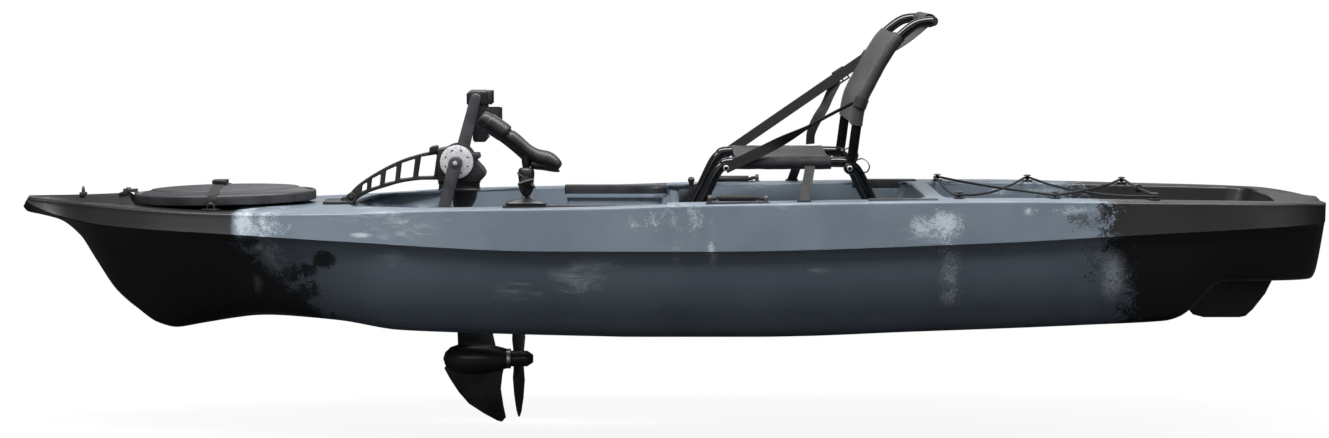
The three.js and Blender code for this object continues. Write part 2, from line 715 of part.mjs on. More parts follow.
// Accessory rails: slotted tracks let into the inner edges of the side decks
function accessoryRail(rail) {
  const { top, inner, outer } = railPlace(rail);
  const y = (inner + outer) / 2;
  const front = rail.front - OVERRUN;
  const rear = rail.rear + OVERRUN;
  const body = span(rail.front, rail.rear, inner, outer, top - RAIL.height, top);
  const slot = span(front, rear, y - RAIL.slot / 2, y + RAIL.slot / 2, top - RAIL.height / 2, top + OVERRUN);
  const grooveTop = top - RAIL.lip;
  const groove = span(
    front, rear, y - RAIL.groove / 2, y + RAIL.groove / 2, grooveTop - RAIL.grooveHeight, grooveTop,
  );
  const track = cut(body, slot, groove);
  return rail.sign > 0 ? track : mirrored(track);
}

RAILS.forEach((rail) => {
  addMesh(`accessory_rail_${rail.name}`, accessoryRail(rail), 'blackPlastic');
});

// Side carry handles: two eyes on a foot, and a bail that lies on the side deck
const handleInset = 36;
const HANDLE = {
  front: 95, rear: 228, y: HULL_BEAM / 2 - handleInset, foot: 5, sink: 4, eye: 9, eyeWidth: 9, footWidth: 24, pivot: 10,
  wire: 4.5, grip: 8, drop: 40, post: 3,
};

function handlePivotHeight() {
  return deckHeight((HANDLE.front + HANDLE.rear) / 2, HANDLE.y) + HANDLE.pivot;
}

function handleBase(sign) {
  const { front, rear, y, foot, sink, eye, eyeWidth, footWidth, post } = HANDLE;
  const pivotZ = handlePivotHeight();
  const low = pivotZ - HANDLE.pivot - sink;
  const ends = [front, rear].flatMap((x) => {
    const centre = sign * y;
    const barrel = bar(at(x - eyeWidth / 2, centre, pivotZ), at(x + eyeWidth / 2, centre, pivotZ), eye);
    const stand = span(
      x - eyeWidth / 2, x + eyeWidth / 2, centre - eye, centre + eye, low, pivotZ,
    );
    return [barrel, stand];
  });
  const plate = span(
    front - eyeWidth, rear + eyeWidth, sign * y - footWidth / 2, sign * y + footWidth / 2, low,
    low + sink + foot - post,
  );
  const bore = bar(
    at(front - 2 * eyeWidth, sign * y, pivotZ), at(rear + 2 * eyeWidth, sign * y, pivotZ), HANDLE.wire + GAP,
  );
  return seated(cut(joined(plate, ...ends), bore));
}

function handleBail(sign) {
  const { front, rear, y, eyeWidth, wire, grip, drop } = HANDLE;
  const z = handlePivotHeight();
  const inner = sign * (y - drop);
  const startX = front + eyeWidth / 2 - eyeWidth;
  const endX = rear - eyeWidth / 2 + eyeWidth;
  const legFront = front + eyeWidth + wire;
  const legRear = rear - eyeWidth - wire;
  const path = [
    at(startX, sign * y, z), at(legFront - wire, sign * y, z), at(legFront, sign * (y - wire), z),
    at(legFront, inner + sign * wire, z), at(legFront + wire, inner, z),
    at(legRear - wire, inner, z), at(legRear, inner + sign * wire, z),
    at(legRear, sign * (y - wire), z), at(legRear + wire, sign * y, z), at(endX, sign * y, z),
  ];
  const sleeve = bar(at(legFront + 2 * wire, inner, z), at(legRear - 2 * wire, inner, z), grip);
  return joined(tube(path, wire, smallSides), sleeve);
}

SIDES.forEach(({ name, sign }) => {
  addMesh(`carry_handle_base_${name}`, handleBase(sign), 'blackPlastic');
  addMesh(`carry_handle_${name}`, handleBail(sign), 'rubber');
});

// Tank well lashing: six button posts, one shock cord laced round them and closed by a toggle
const POST = { foot: 13, footHeight: 4, sink: 4, neck: 4.5, height: 18, cap: 10, capHeight: 4 };
const LASHING = { radius: 3, clearance: 0.5, crossing: 5, sag: 9, toggle: 11, toggleLength: 34, sides: 8 };
const LASHING_ROWS = { front: 690, middle: 920, rear: 1160 };
const LASHING_XS = [LASHING_ROWS.front, LASHING_ROWS.middle, LASHING_ROWS.rear];
const postInset = 17;

function postPlace(index, sign) {
  const x = LASHING_XS[index];
  const well = TANK_WELL;
  const run = (x - well.frontHigh) / (well.rearHigh - well.frontHigh);
  const y = well.halfHigh - well.taper * run + postInset;
  return at(x, sign * y, deckHeight(x, y));
}

function lashingPost(index, sign) {
  const place = postPlace(index, sign);
  const profile = [
    [0, -POST.sink], [POST.foot, -POST.sink], [POST.foot, POST.footHeight], [POST.neck, POST.footHeight],
    [POST.neck, POST.height - POST.capHeight], [POST.cap, POST.height - POST.capHeight],
    [POST.cap, POST.height - POST.capHeight / 2], [POST.neck, POST.height], [0, POST.height],
  ].map(([radius, height]) => new THREE.Vector2(radius, height));
  const post = new THREE.LatheGeometry(profile, pinSides);
  post.rotateX(Math.PI / 2);
  post.translate(place.x, place.y, place.z);
  return seated(post);
}

const turnSteps = 6;

// Where a run meets the cord's turn, as an angle from the outboard direction
function tangentAngle(run, otherRun, outboard) {
  const heading = Math.atan2(run.y, run.x);
  const sides = [heading + Math.PI / 2, heading - Math.PI / 2];
  const away = sides.map((angle) => otherRun.x * Math.cos(angle) + otherRun.y * Math.sin(angle));
  const angle = (away[0] < away[1] ? sides[0] : sides[1]) - outboard;
  return Math.atan2(Math.sin(angle), Math.cos(angle));
}

// The lacing order from the toggle and back to it, as [row, side]
const lacing = [[2, -1], [1, 1], [0, -1], [0, 1], [1, -1], [2, 1]];

function lashingPath() {
  const wrap = POST.neck + LASHING.radius + LASHING.clearance;
  const rise = (POST.footHeight + POST.height - POST.capHeight) / 2;
  const posts = lacing.map(([row, sign]) => postPlace(row, sign).add(at(0, 0, rise)));
  const toggle = posts[0].clone().lerp(posts[posts.length - 1], 1 / 2);
  const reach = new THREE.Vector3().subVectors(posts[0], toggle).normalize();
  const half = LASHING.toggleLength / 2 + GAP;
  const points = [toggle.clone().addScaledVector(reach, half)];
  const stops = [toggle, ...posts, toggle];
  posts.forEach((post, k) => {
    const outboard = lacing[k][1] * Math.PI / 2;
    const before = new THREE.Vector3().subVectors(stops[k], post);
    const after = new THREE.Vector3().subVectors(stops[k + 2], post);
    const start = tangentAngle(before, after, outboard);
    const finish = tangentAngle(after, before, outboard);
    for (let step = 0; step <= turnSteps; step += 1) {
      const angle = outboard + blendOf(start, finish, step / turnSteps);
      points.push(post.clone().add(at(wrap * Math.cos(angle), wrap * Math.sin(angle), 0)));
    }
    if (k < posts.length - 1) {
      const next = posts[k + 1];
      const crossing = k === 1 || k === 0 ? LASHING.crossing : -LASHING.crossing;
      const middle = post.clone().lerp(next, 1 / 2);
      middle.z -= LASHING.sag + (k === 2 ? 0 : crossing);
      points.push(middle);
    }
  });
  points.push(toggle.clone().addScaledVector(
    new THREE.Vector3().subVectors(posts[posts.length - 1], toggle).normalize(), half,
  ));
  return { points, toggle, reach };
}

const lashing = lashingPath();
SIDES.forEach(({ name, sign }) => {
  LASHING_XS.forEach((x, index) => {
    addMesh(`lashing_post_${index + 1}_${name}`, lashingPost(index, sign), 'blackPlastic');
  });
});
addMesh('lashing_cord', tube(lashing.points, LASHING.radius, LASHING.sides), 'rubber');
addMesh('lashing_toggle', bar(
  lashing.toggle.clone().addScaledVector(lashing.reach, LASHING.toggleLength / 2),
  lashing.toggle.clone().addScaledVector(lashing.reach, -LASHING.toggleLength / 2),
  LASHING.toggle,
), 'blackPlastic');

// Rudder: a swept blade under the overhang, its post up through the moulded tube, and its cap
const RUDDER = {
  front: HULL_LENGTH / 2 - STERN_INSETS.blade, length: 254, bottom: 17, height: 108, thickness: 16, cap: 22, capHeight: 9, seat: 12,
};
const rudderOutlineShares = [
  [0, 1], [0.1, 0.42], [0.24, 0.06], [0.34, 0], [0.69, 0], [0.75, 0.03], [0.823, 0.194], [0.937, 0.54],
  [1, 0.84],
  [1, 1],
];

function rudder() {
  const outline = rudderOutlineShares.map(([x, z]) => (
    [RUDDER.front + x * RUDDER.length, RUDDER.bottom + z * RUDDER.height]
  ));
  const blade = sidePlate(outline, RUDDER.thickness, 0);
  const top = RUDDER.bottom + RUDDER.height;
  const boss = upright(
    RUDDER_POST.radius + RUDDER.thickness / 2, RUDDER_POST.x, 0, top - 3 * RUDDER.seat, top + GAP, drumSides,
  );
  const post = upright(
    RUDDER_POST.radius, RUDDER_POST.x, 0, top - RUDDER.seat, TANK_WELL.floor + RUDDER.capHeight / 2,
  );
  const capLow = TANK_WELL.floor + GAP;
  const cap = upright(RUDDER.cap, RUDDER_POST.x, 0, capLow, capLow + RUDDER.capHeight, drumSides);
  return joined(blade, boss, post, cap);
}

addMesh('rudder', rudder(), 'blackPlastic');

// Steering lever on the starboard cockpit wall
const steeringInset = 16.5;
const STEERING = {
  x: 57, z: 296, y: (SEAT_SHELF.halfLow + SEAT_SHELF.halfHigh) / 2 - steeringInset, disc: 17, thickness: 11, arm: 12, reach: 42, knob: 9, baseLength: 62, baseHeight: 36,
  baseDepth: 30, pin: 4,
};

function steeringBase() {
  const { x, z, y, baseLength, baseHeight, baseDepth } = STEERING;
  const plate = span(
    x - baseLength / 2, x + baseLength / 2, y, y + baseDepth, z - baseHeight / 2, z + baseHeight / 2,
  );
  const pin = bar(at(x, y - STEERING.thickness, z), at(x, y + OVERRUN, z), STEERING.pin);
  const wall = hull.block.translate([0, -GAP, 0]);
  const pieces = solidOf(joined(plate, pin)).subtract(wall).subtract(hullSeat).decompose();
  return geometryOf(pieces.sort((a, b) => b.volume() - a.volume())[0]);
}

function steeringLever() {
  const { x, z, y, disc, thickness, arm, reach, knob } = STEERING;
  const far = y - GAP;
  const near = far - thickness;
  const middle = (near + far) / 2;
  const wheel = bar(at(x, near, z), at(x, far, z), disc, drumSides);
  const stem = span(x - arm / 2, x + arm / 2, near, far, z, z + reach);
  const ball = new THREE.SphereGeometry(knob, pinSides, ballRows);
  ball.translate(x, middle, z + reach);
  const bore = bar(at(x, near - OVERRUN, z), at(x, far + OVERRUN, z), STEERING.pin + GAP);
  return cut(joined(wheel, stem, ball), bore);
}

addMesh('steering_base', steeringBase(), 'blackPlastic');
addMesh('steering_lever', steeringLever(), 'blackPlastic');

// Pedal drive: its hinge, arm and head lie on the centre plane, in side view [x, z]
const DRIVE = {
  hingeX: -785, hingeZ: 315, armLength: 214, armRise: 125, armWidth: 30, margin: 9, eye: 12, pin: 5,
  crankX: -523, crankZ: 405.6, shaftX: -511, axisZ: TUNNEL_AXIS_Z,
};
const armUpperShares = curveOf([
  [-0.045, 0.06], [0.023, 0.248], [0.182, 0.448], [0.374, 0.616], [0.547, 0.744], [0.7, 0.832],
  [0.925, 0.936], [1, 0.968],
]);
const armLowerShares = curveOf([
  [-0.045, -0.05], [0.098, 0.008], [0.285, 0.144], [0.495, 0.264], [0.7, 0.328], [0.874, 0.344], [1, 0.336],
]);
const armStationShares = [0, 0.05, 0.12, 0.2, 0.3, 0.42, 0.55, 0.7, 0.85, 1];
const armWindowShares = [[0.075, 0.13], [0.19, 0.3], [0.36, 0.5], [0.56, 0.735], [0.795, 0.965]];
const windowSlantShare = 0.025;
const gripShare = 0.94;

function armPoint(xShare, zShare) {
  return [DRIVE.hingeX + xShare * DRIVE.armLength, DRIVE.hingeZ + zShare * DRIVE.armRise];
}

const DRIVE_GRIP = { front: -590, rear: -574, width: 40, height: 9 };

function driveArm() {
  const low = armStationShares.map((x) => armPoint(x, armLowerShares(x)));
  const high = armStationShares.map((x) => armPoint(x, armUpperShares(x))).reverse();
  const edge = DRIVE.margin / DRIVE.armRise;
  const windows = armWindowShares.map(([front, rear]) => [
    armPoint(front, armLowerShares(front) + edge),
    armPoint(rear, armLowerShares(rear) + edge),
    armPoint(rear - windowSlantShare, armUpperShares(rear - windowSlantShare) - edge),
    armPoint(front - windowSlantShare, armUpperShares(front - windowSlantShare) - edge),
  ]);
  const truss = sidePlate([...low, ...high], DRIVE.armWidth, 0, windows);
  const eye = bar(
    at(DRIVE.hingeX, -DRIVE.armWidth / 2, DRIVE.hingeZ), at(DRIVE.hingeX, DRIVE.armWidth / 2, DRIVE.hingeZ),
    DRIVE.eye, drumSides,
  );
  const bore = bar(
    at(DRIVE.hingeX, -DRIVE.armWidth, DRIVE.hingeZ), at(DRIVE.hingeX, DRIVE.armWidth, DRIVE.hingeZ),
    DRIVE.pin + GAP,
  );
  const [, gripZ] = armPoint(gripShare, armUpperShares(gripShare));
  const grip = span(
    DRIVE_GRIP.front, DRIVE_GRIP.rear, -DRIVE_GRIP.width / 2, DRIVE_GRIP.width / 2,
    gripZ - DRIVE_GRIP.height, gripZ + DRIVE_GRIP.height,
  );
  return cut(joined(truss, eye, grip), bore);
}

const BRACKET = { front: -852, rear: -779, half: 60, foot: 6, sink: 4, cheek: 13, round: 13, pinHead: 2 };

function driveBracket() {
  const deck = deckHeight(DRIVE.hingeX, 0);
  const inner = DRIVE.armWidth / 2 + GAP;
  const plate = span(
    BRACKET.front, BRACKET.rear, -BRACKET.half, BRACKET.half, deck - BRACKET.sink, deck + BRACKET.foot,
  );
  const cheeks = [1, -1].flatMap((side) => {
    const near = side * inner;
    const far = side * (inner + BRACKET.cheek);
    const eye = bar(
      at(DRIVE.hingeX, near, DRIVE.hingeZ), at(DRIVE.hingeX, far, DRIVE.hingeZ), BRACKET.round,
      drumSides,
    );
    const stand = span(
      DRIVE.hingeX - 2 * BRACKET.round, DRIVE.hingeX + BRACKET.round / 2, Math.min(near, far),
      Math.max(near, far),
      deck - BRACKET.sink, DRIVE.hingeZ,
    );
    return [eye, stand];
  });
  const room = bar(
    at(DRIVE.hingeX, -inner, DRIVE.hingeZ), at(DRIVE.hingeX, inner, DRIVE.hingeZ), DRIVE.eye + 2 * GAP,
    drumSides,
  );
  const reach = inner + BRACKET.cheek + BRACKET.pinHead;
  const pin = bar(at(DRIVE.hingeX, -reach, DRIVE.hingeZ), at(DRIVE.hingeX, reach, DRIVE.hingeZ), DRIVE.pin);
  return seated(joined(cut(joined(plate, ...cheeks), room), pin));
}

// Head: two shells with the gear room between them
const HEAD = {
  front: -570.7, length: 118, bottom: 354, height: 86, half: 44, seam: 0.15, gear: 28, gearRoom: 30.5,
  gearNear: 13, gearWidth: 6, roomHalf: 22, pinion: 12.4, pinionLow: 378.5, pinionHeight: 10,
};
const headOutlineShares = [
  [0, 0.035], [0, 0.955], [0.226, 1], [0.557, 1], [0.71, 0.79], [0.862, 0.72], [1, 0.22], [0.87, 0],
];
const CRANK = {
  axle: 9, length: 154, lean: -14.5, hub: 16.5, tip: 13.5, near: 90, thickness: 18, disc: 41, discNear: 45.5,
  discWidth: 6, holes: 8, holeCircle: 29.5, hole: 5.5, spindle: 6, spindleReach: 116,
};

function headShell(sign) {
  const outline = headOutlineShares.map(([x, z]) => (
    [HEAD.front + x * HEAD.length, HEAD.bottom + z * HEAD.height]
  ));
  const width = HEAD.half - HEAD.seam;
  const shellBody = sidePlate(outline, width, sign * (HEAD.seam + width / 2));
  const axis = (reach, radius, sides) => bar(
    at(DRIVE.crankX, -reach, DRIVE.crankZ), at(DRIVE.crankX, reach, DRIVE.crankZ), radius, sides,
  );
  const room = axis(HEAD.roomHalf, HEAD.gearRoom, ringSides);
  const bore = axis(2 * HEAD.half, CRANK.axle + GAP, holeSides);
  const well = upright(HEAD.pinion + OVERRUN, DRIVE.shaftX, 0, HEAD.bottom - OVERRUN, DRIVE.crankZ);
  return cut(shellBody, room, bore, well);
}

function crankPoint(sign, reach) {
  const lean = THREE.MathUtils.degToRad(CRANK.lean);
  return [DRIVE.crankX - sign * reach * Math.sin(lean), DRIVE.crankZ + sign * reach * Math.cos(lean)];
}

function crankAxle() {
  const reach = CRANK.near + CRANK.thickness / 2;
  const axle = bar(at(DRIVE.crankX, -reach, DRIVE.crankZ), at(DRIVE.crankX, reach, DRIVE.crankZ), CRANK.axle);
  const gear = bar(
    at(DRIVE.crankX, HEAD.gearNear, DRIVE.crankZ),
    at(DRIVE.crankX, HEAD.gearNear + HEAD.gearWidth, DRIVE.crankZ),
    HEAD.gear, ringSides,
  );
  return joined(axle, gear);
}

function hubDisc(sign) {
  const { disc, discNear, discWidth, holes, holeCircle, hole, axle } = CRANK;
  const y = sign * (discNear + discWidth / 2);
  const rings = Array.from({ length: holes }, (_, k) => {
    const angle = (k + 1 / 2) * 2 * Math.PI / holes;
    const x = DRIVE.crankX + holeCircle * Math.cos(angle);
    const z = DRIVE.crankZ + holeCircle * Math.sin(angle);
    return discPoints(x, z, hole, wireSides);
  });
  rings.push(discPoints(DRIVE.crankX, DRIVE.crankZ, axle + GAP, holeSides));
  return sidePlate(discPoints(DRIVE.crankX, DRIVE.crankZ, disc, discSides), discWidth, y, rings);
}

function crankArm(sign) {
  const { near, thickness, hub, tip, length, axle, spindle, spindleReach, discNear, discWidth } = CRANK;
  const [tipX, tipZ] = crankPoint(sign, length);
  const y = sign * (near + thickness / 2);
  const heading = Math.atan2(tipZ - DRIVE.crankZ, tipX - DRIVE.crankX);
  const around = (x, z, radius, start) => Array.from({ length: endSteps + 1 }, (_, k) => {
    const angle = start + Math.PI * k / endSteps;
    return [x + radius * Math.cos(angle), z + radius * Math.sin(angle)];
  });
  const outline = [
    ...around(tipX, tipZ, tip, heading - Math.PI / 2),
    ...around(DRIVE.crankX, DRIVE.crankZ, hub, heading + Math.PI / 2),
  ];
  const boss = bar(
    at(DRIVE.crankX, sign * (discNear + discWidth + GAP), DRIVE.crankZ),
    at(DRIVE.crankX, y, DRIVE.crankZ), hub, drumSides,
  );
  const bore = bar(
    at(DRIVE.crankX, 0, DRIVE.crankZ), at(DRIVE.crankX, y + sign * GAP, DRIVE.crankZ), axle + GAP,
  );
  const pedalPin = bar(at(tipX, y, tipZ), at(tipX, sign * (near + thickness + spindleReach), tipZ), spindle);
  return cut(joined(sidePlate(outline, thickness, y), boss, pedalPin), bore);
}

// Pedals hang from their spindles, with a strap hoop on the aft face
const PEDAL = {
  near: 122, width: 100, thickness: 34, above: 20, below: 106, chamfer: 9, strapNear: 0.36, strapHeight: 34,
  strapRise: 34, strap: 5,
};
const strapHoopShares = [[0, 0], [0.06, 0.5], [0.2, 0.86], [0.5, 1], [0.8, 0.86], [0.94, 0.5], [1, 0]];

function pedal(sign) {
  const [x, z] = crankPoint(sign, CRANK.length);
  const { near, width, thickness, above, below, chamfer, strapRise, strapHeight, strap } = PEDAL;
  const half = thickness / 2;
  const outline = [
    [x - half, z - below + chamfer], [x - half + chamfer, z - below], [x + half - chamfer, z - below],
    [x + half, z - below + chamfer], [x + half, z + above - chamfer], [x + half - chamfer, z + above],
    [x - half + chamfer, z + above], [x - half, z + above - chamfer],
  ];
  const body = sidePlate(outline, width, sign * (near + width / 2));
  const bore = bar(at(x, 0, z), at(x, sign * (near + 2 * width), z), CRANK.spindle + GAP);
  const hoop = (inset) => {
    const shape = new THREE.Shape(strapHoopShares.map(([across, rise]) => new THREE.Vector2(
      x + half - strap + rise * (strapRise + strap - inset),
      sign * (near + inset + across * (width - 2 * inset)),
    )));
    const depth = strapHeight + (inset ? 2 * OVERRUN : 0);
    const form = new THREE.ExtrudeGeometry(shape, { depth, bevelEnabled: false });
    form.translate(0, 0, z - PEDAL.strapNear * below - depth / 2);
    return form;
  };
  const band = cut(hoop(0), hoop(strap));
  return cut(joined(body, band), bore);
}

// Column from the head to the strut, and the lower unit with its pod and fin
const COLUMN = {
  collarFront: -571, collarRear: -468, collarLow: 333, collarHalf: 40, neckFront: -541, neckRear: -481,
  neckRearLow: -500, neckLow: 288, neckHalf: 22, neckHalfLow: 16, bore: 8,
};
const STRUT = [
  { z: 287.7, front: -541, rear: -500, half: 15 }, { z: 100, front: -532, rear: -468, half: 14 },
  { z: 0, front: -527, rear: -443, half: 12 }, { z: -60, front: -525, rear: -430, half: 12 },
];
const POD = [
  { x: -562, radius: 0 }, { x: -557, radius: 16 }, { x: -543, radius: 29 }, { x: -520, radius: 37 },
  { x: -490, radius: 39 }, { x: -455, radius: 37 }, { x: -425, radius: 31 }, { x: -404, radius: 25 },
];
const POD_ROOM = { front: -536, radius: 21 };
const FIN = { front: -559, length: 160, top: -96, height: 149, thickness: 9 };
const finOutlineShares = [
  [0.05, 0], [0, 0.1], [0.08, 0.265], [0.22, 0.497], [0.38, 0.696], [0.606, 0.855], [0.815, 0.978],
  [0.893, 1], [0.954, 0.926], [0.917, 0.738], [0.877, 0.455], [0.903, 0.204], [0.95, 0],
];

// A ring of a strut or neck, pointed at the back and round at the front
const foilShares = [
  [0, 0], [0.04, 0.5], [0.16, 0.9], [0.34, 1], [0.6, 0.82], [0.85, 0.4], [1, 0.06],
];

function foilRing(front, rear, half, z) {
  const upper = foilShares.map(([x, y]) => at(blendOf(front, rear, x), y * half, z));
  const lower = foilShares.slice(1).reverse().map(([x, y]) => at(blendOf(front, rear, x), -y * half, z));
  return [...upper, ...lower];
}

function driveColumn() {
  const collar = span(
    COLUMN.collarFront, COLUMN.collarRear, -COLUMN.collarHalf, COLUMN.collarHalf, COLUMN.collarLow,
    HEAD.bottom - GAP,
  );
  const neck = loft([
    foilRing(COLUMN.neckFront, COLUMN.neckRearLow, COLUMN.neckHalfLow, COLUMN.neckLow),
    foilRing(COLUMN.neckFront, COLUMN.neckRear, COLUMN.neckHalf, COLUMN.collarLow + OVERRUN),
  ]);
  const bore = upright(COLUMN.bore, DRIVE.shaftX, 0, COLUMN.neckLow - OVERRUN, HEAD.bottom);
  return cut(joined(collar, neck), bore);
}

function lowerUnit() {
  const strut = loft(STRUT.map(({ z, front, rear, half }) => foilRing(front, rear, half, z)).reverse());
  const pod = new THREE.LatheGeometry(
    [...POD, { x: POD[POD.length - 1].x, radius: 0 }].map(({ x, radius }) => new THREE.Vector2(radius, x)),
    drumSides,
  );
  pod.rotateZ(-Math.PI / 2);
  pod.translate(0, 0, DRIVE.axisZ);
  const outline = finOutlineShares.map(([x, z]) => [FIN.front + x * FIN.length, FIN.top - z * FIN.height]);
  const fin = sidePlate(outline, FIN.thickness, 0);
  const rear = POD[POD.length - 1].x;
  const room = bar(at(POD_ROOM.front, 0, DRIVE.axisZ), at(rear + OVERRUN, 0, DRIVE.axisZ), POD_ROOM.radius);
  const bore = upright(COLUMN.bore, DRIVE.shaftX, 0, DRIVE.axisZ, STRUT[0].z + OVERRUN);
  return cut(joined(strut, pod, fin), room, bore);
}

// Shafts with their gear blanks
// Outline of a blade across its chord, as shares of the chord and of the half thickness
const bladeSectionShares = [[-0.5, 0], [-0.25, 1], [0.15, 1], [0.5, 0], [0.15, -1], [-0.25, -1]];

function propAxis(from, to, radius, sides) {
  return bar(at(from, 0, DRIVE.axisZ), at(to, 0, DRIVE.axisZ), radius, sides);
}

const SHAFT = {
  radius: 6, pinion: 12, pinionHigh: -71, pinionHeight: 8, gear: 14, gearFront: -498, gearWidth: 9,
};
const PROP = {
  front: -393, rear: -353, hub: 20, radius: 145, plane: -374, nose: -338, ringFront: -403.7, ringRear: -393.5,
  ring: 25,
};
const bladeRows = [
  { share: 0.1, chord: 30, pitch: 58, half: 4 }, { share: 0.35, chord: 46, pitch: 44, half: 3.2 },
  { share: 0.65, chord: 50, pitch: 31, half: 2.4 }, { share: 0.9, chord: 36, pitch: 24, half: 1.8 },
  { share: 1, chord: 14, pitch: 22, half: 1.4 },
];

function driveShaft() {
  const low = SHAFT.pinionHigh - SHAFT.pinionHeight;
  return joined(
    upright(SHAFT.radius, DRIVE.shaftX, 0, low, HEAD.pinionLow + HEAD.pinionHeight),
    upright(HEAD.pinion, DRIVE.shaftX, 0, HEAD.pinionLow, HEAD.pinionLow + HEAD.pinionHeight, drumSides),
    upright(SHAFT.pinion, DRIVE.shaftX, 0, low, SHAFT.pinionHigh, drumSides),
  );
}

function propShaft() {
  return joined(
    propAxis(POD_ROOM.front + OVERRUN, PROP.rear, SHAFT.radius, holeSides),
    propAxis(SHAFT.gearFront, SHAFT.gearFront + SHAFT.gearWidth, SHAFT.gear, drumSides),
  );
}

function blade(sign) {
  return loft(bladeRows.map(({ share, chord, pitch, half }) => {
    const turn = THREE.MathUtils.degToRad(pitch);
    return bladeSectionShares.map(([along, thick]) => {
      const a = along * chord;
      const t = thick * half;
      return at(
        PROP.plane + a * Math.sin(turn) + t * Math.cos(turn),
        sign * (a * Math.cos(turn) - t * Math.sin(turn)),
        DRIVE.axisZ + sign * share * PROP.radius,
      );
    });
  }));
}

function propeller() {
  const cone = new THREE.CylinderGeometry(PROP.hub / 2, PROP.hub, PROP.nose - PROP.rear, drumSides);
  cone.rotateZ(-Math.PI / 2);
  cone.translate((PROP.nose + PROP.rear) / 2, 0, DRIVE.axisZ);
  const hub = propAxis(PROP.front, PROP.rear, PROP.hub, drumSides);
  const bore = propAxis(PROP.front - OVERRUN, PROP.rear + GAP, SHAFT.radius + GAP);
  return cut(joined(hub, cone, blade(1), blade(-1)), bore);
}

function propRing() {
  return cut(
    propAxis(PROP.ringFront, PROP.ringRear, PROP.ring, ringSides),
    propAxis(PROP.ringFront - OVERRUN, PROP.ringRear + OVERRUN, SHAFT.radius + GAP, holeSides),
  );
}

addMesh('drive_bracket', driveBracket(), 'blackPlastic');
addMesh('drive_arm', driveArm(), 'blackPlastic');
SIDES.forEach(({ name, sign }) => {
  addMesh(`drive_head_${name}`, headShell(sign), 'blackPlastic');
  addMesh(`hub_disc_${name}`, hubDisc(sign), 'aluminium');
  addMesh(`crank_arm_${name}`, crankArm(sign), 'blackPlastic');
  addMesh(`pedal_${name}`, pedal(sign), 'blackPlastic');
});
addMesh('crank_axle', crankAxle(), 'steel');
addMesh('drive_column', driveColumn(), 'blackPlastic');
addMesh('lower_unit', lowerUnit(), 'blackPlastic');
addMesh('drive_shaft', driveShaft(), 'steel');
addMesh('prop_shaft', propShaft(), 'steel');
addMesh('propeller', propeller(), 'blackPlastic');
addMesh('prop_ring', propRing(), 'aluminium');

// Seat: welded base frame, hinged back frame, slung pan and back, straps and ties
const SEAT = {
  half: 230, tube: 12.5, railZ: 416, railFront: 136, railRear: 432, kneeZ: 385, kneeReach: 26, shinZ: 325,
  shinReach: 55, footReach: 96, boltZ: 403, bolt: 5.5, backHalf: 257, backTube: 12, eye: 14,
  backReach: 198, backRise: 352,
  panFront: 160, panRear: 389, panSleeve: 3.6, panThick: 13, backSleeve: 3.4, panelThick: 9,
};
const seatFloor = SEAT_SHELF.floor + GAP + SEAT.tube;
const seatTubeSides = 8;

// The back frame's side tube in side view, as reach aft and height above the hinge
const backRouteShares = [
  [0, 0], [0.0303, 0.071], [0.0758, 0.2614], [0.1313, 0.446], [0.2677, 0.6023], [0.3939, 0.7358],
  [0.5707, 0.8778], [0.798, 0.9801], [1, 1],
];
const BACK_ROUTE = backRouteShares.map(([reach, rise]) => [reach * SEAT.backReach, rise * SEAT.backRise]);
const panelFirst = 2;
const panelLast = 6;

function archPath(sign) {
  const { railFront, railRear, railZ, kneeZ, kneeReach, shinZ, shinReach, footReach, half } = SEAT;
  const y = sign * half;
  return [
    at(railFront - footReach, y, seatFloor), at(railFront - shinReach, y, shinZ),
    at(railFront - kneeReach, y, kneeZ),
    at(railFront - kneeReach / 3, y, railZ - kneeReach / 3), at(railFront + kneeReach / 2, y, railZ),
    at(railRear - kneeReach / 2, y, railZ), at(railRear + kneeReach / 3, y, railZ - kneeReach / 3),
    at(railRear + kneeReach, y, kneeZ), at(railRear + shinReach, y, shinZ),
    at(railRear + footReach, y, seatFloor),
  ];
}

function seatBaseFrame() {
  const { railFront, railRear, footReach, half, tube: radius, boltZ, bolt, backHalf, backTube } = SEAT;
  const cross = [railFront - footReach, railRear + footReach].map((x) => (
    bar(at(x, -half - radius, seatFloor), at(x, half + radius, seatFloor), radius, seatTubeSides)
  ));
  const bolts = [railFront, railRear].flatMap((x) => [1, -1].map((side) => (
    bar(
      at(x, side * half, boltZ),
      at(x, side * (backHalf + (x === railRear ? backTube + OVERRUN : 0)), boltZ), bolt, pinSides,
    )
  )));
  return joined(
    tube(archPath(1), radius, seatTubeSides), tube(archPath(-1), radius, seatTubeSides), ...cross, ...bolts,
  );
}

function backPath(sign) {
  const y = sign * SEAT.backHalf;
  return BACK_ROUTE.map(([reach, rise]) => at(SEAT.railRear + reach, y, SEAT.boltZ + rise));
}

function topBarEnds() {
  const [reach, rise] = BACK_ROUTE[BACK_ROUTE.length - 1];
  const half = SEAT.backHalf + SEAT.backTube;
  return [1, -1].map((side) => at(SEAT.railRear + reach, side * half, SEAT.boltZ + rise));
}

function seatBackFrame() {
  const { railRear, boltZ, bolt, backHalf, backTube, eye } = SEAT;
  const eyes = [1, -1].map((side) => bar(
    at(railRear, side * (backHalf - backTube), boltZ), at(railRear, side * (backHalf + backTube), boltZ), eye,
  ));
  const bore = bar(
    at(railRear, -2 * backHalf, boltZ), at(railRear, 2 * backHalf, boltZ), bolt + GAP, pinSides,
  );
  const whole = joined(
    tube(backPath(1), backTube, seatTubeSides), tube(backPath(-1), backTube, seatTubeSides),
    bar(...topBarEnds(), backTube, seatTubeSides), ...eyes,
  );
  return cut(whole, bore);
}

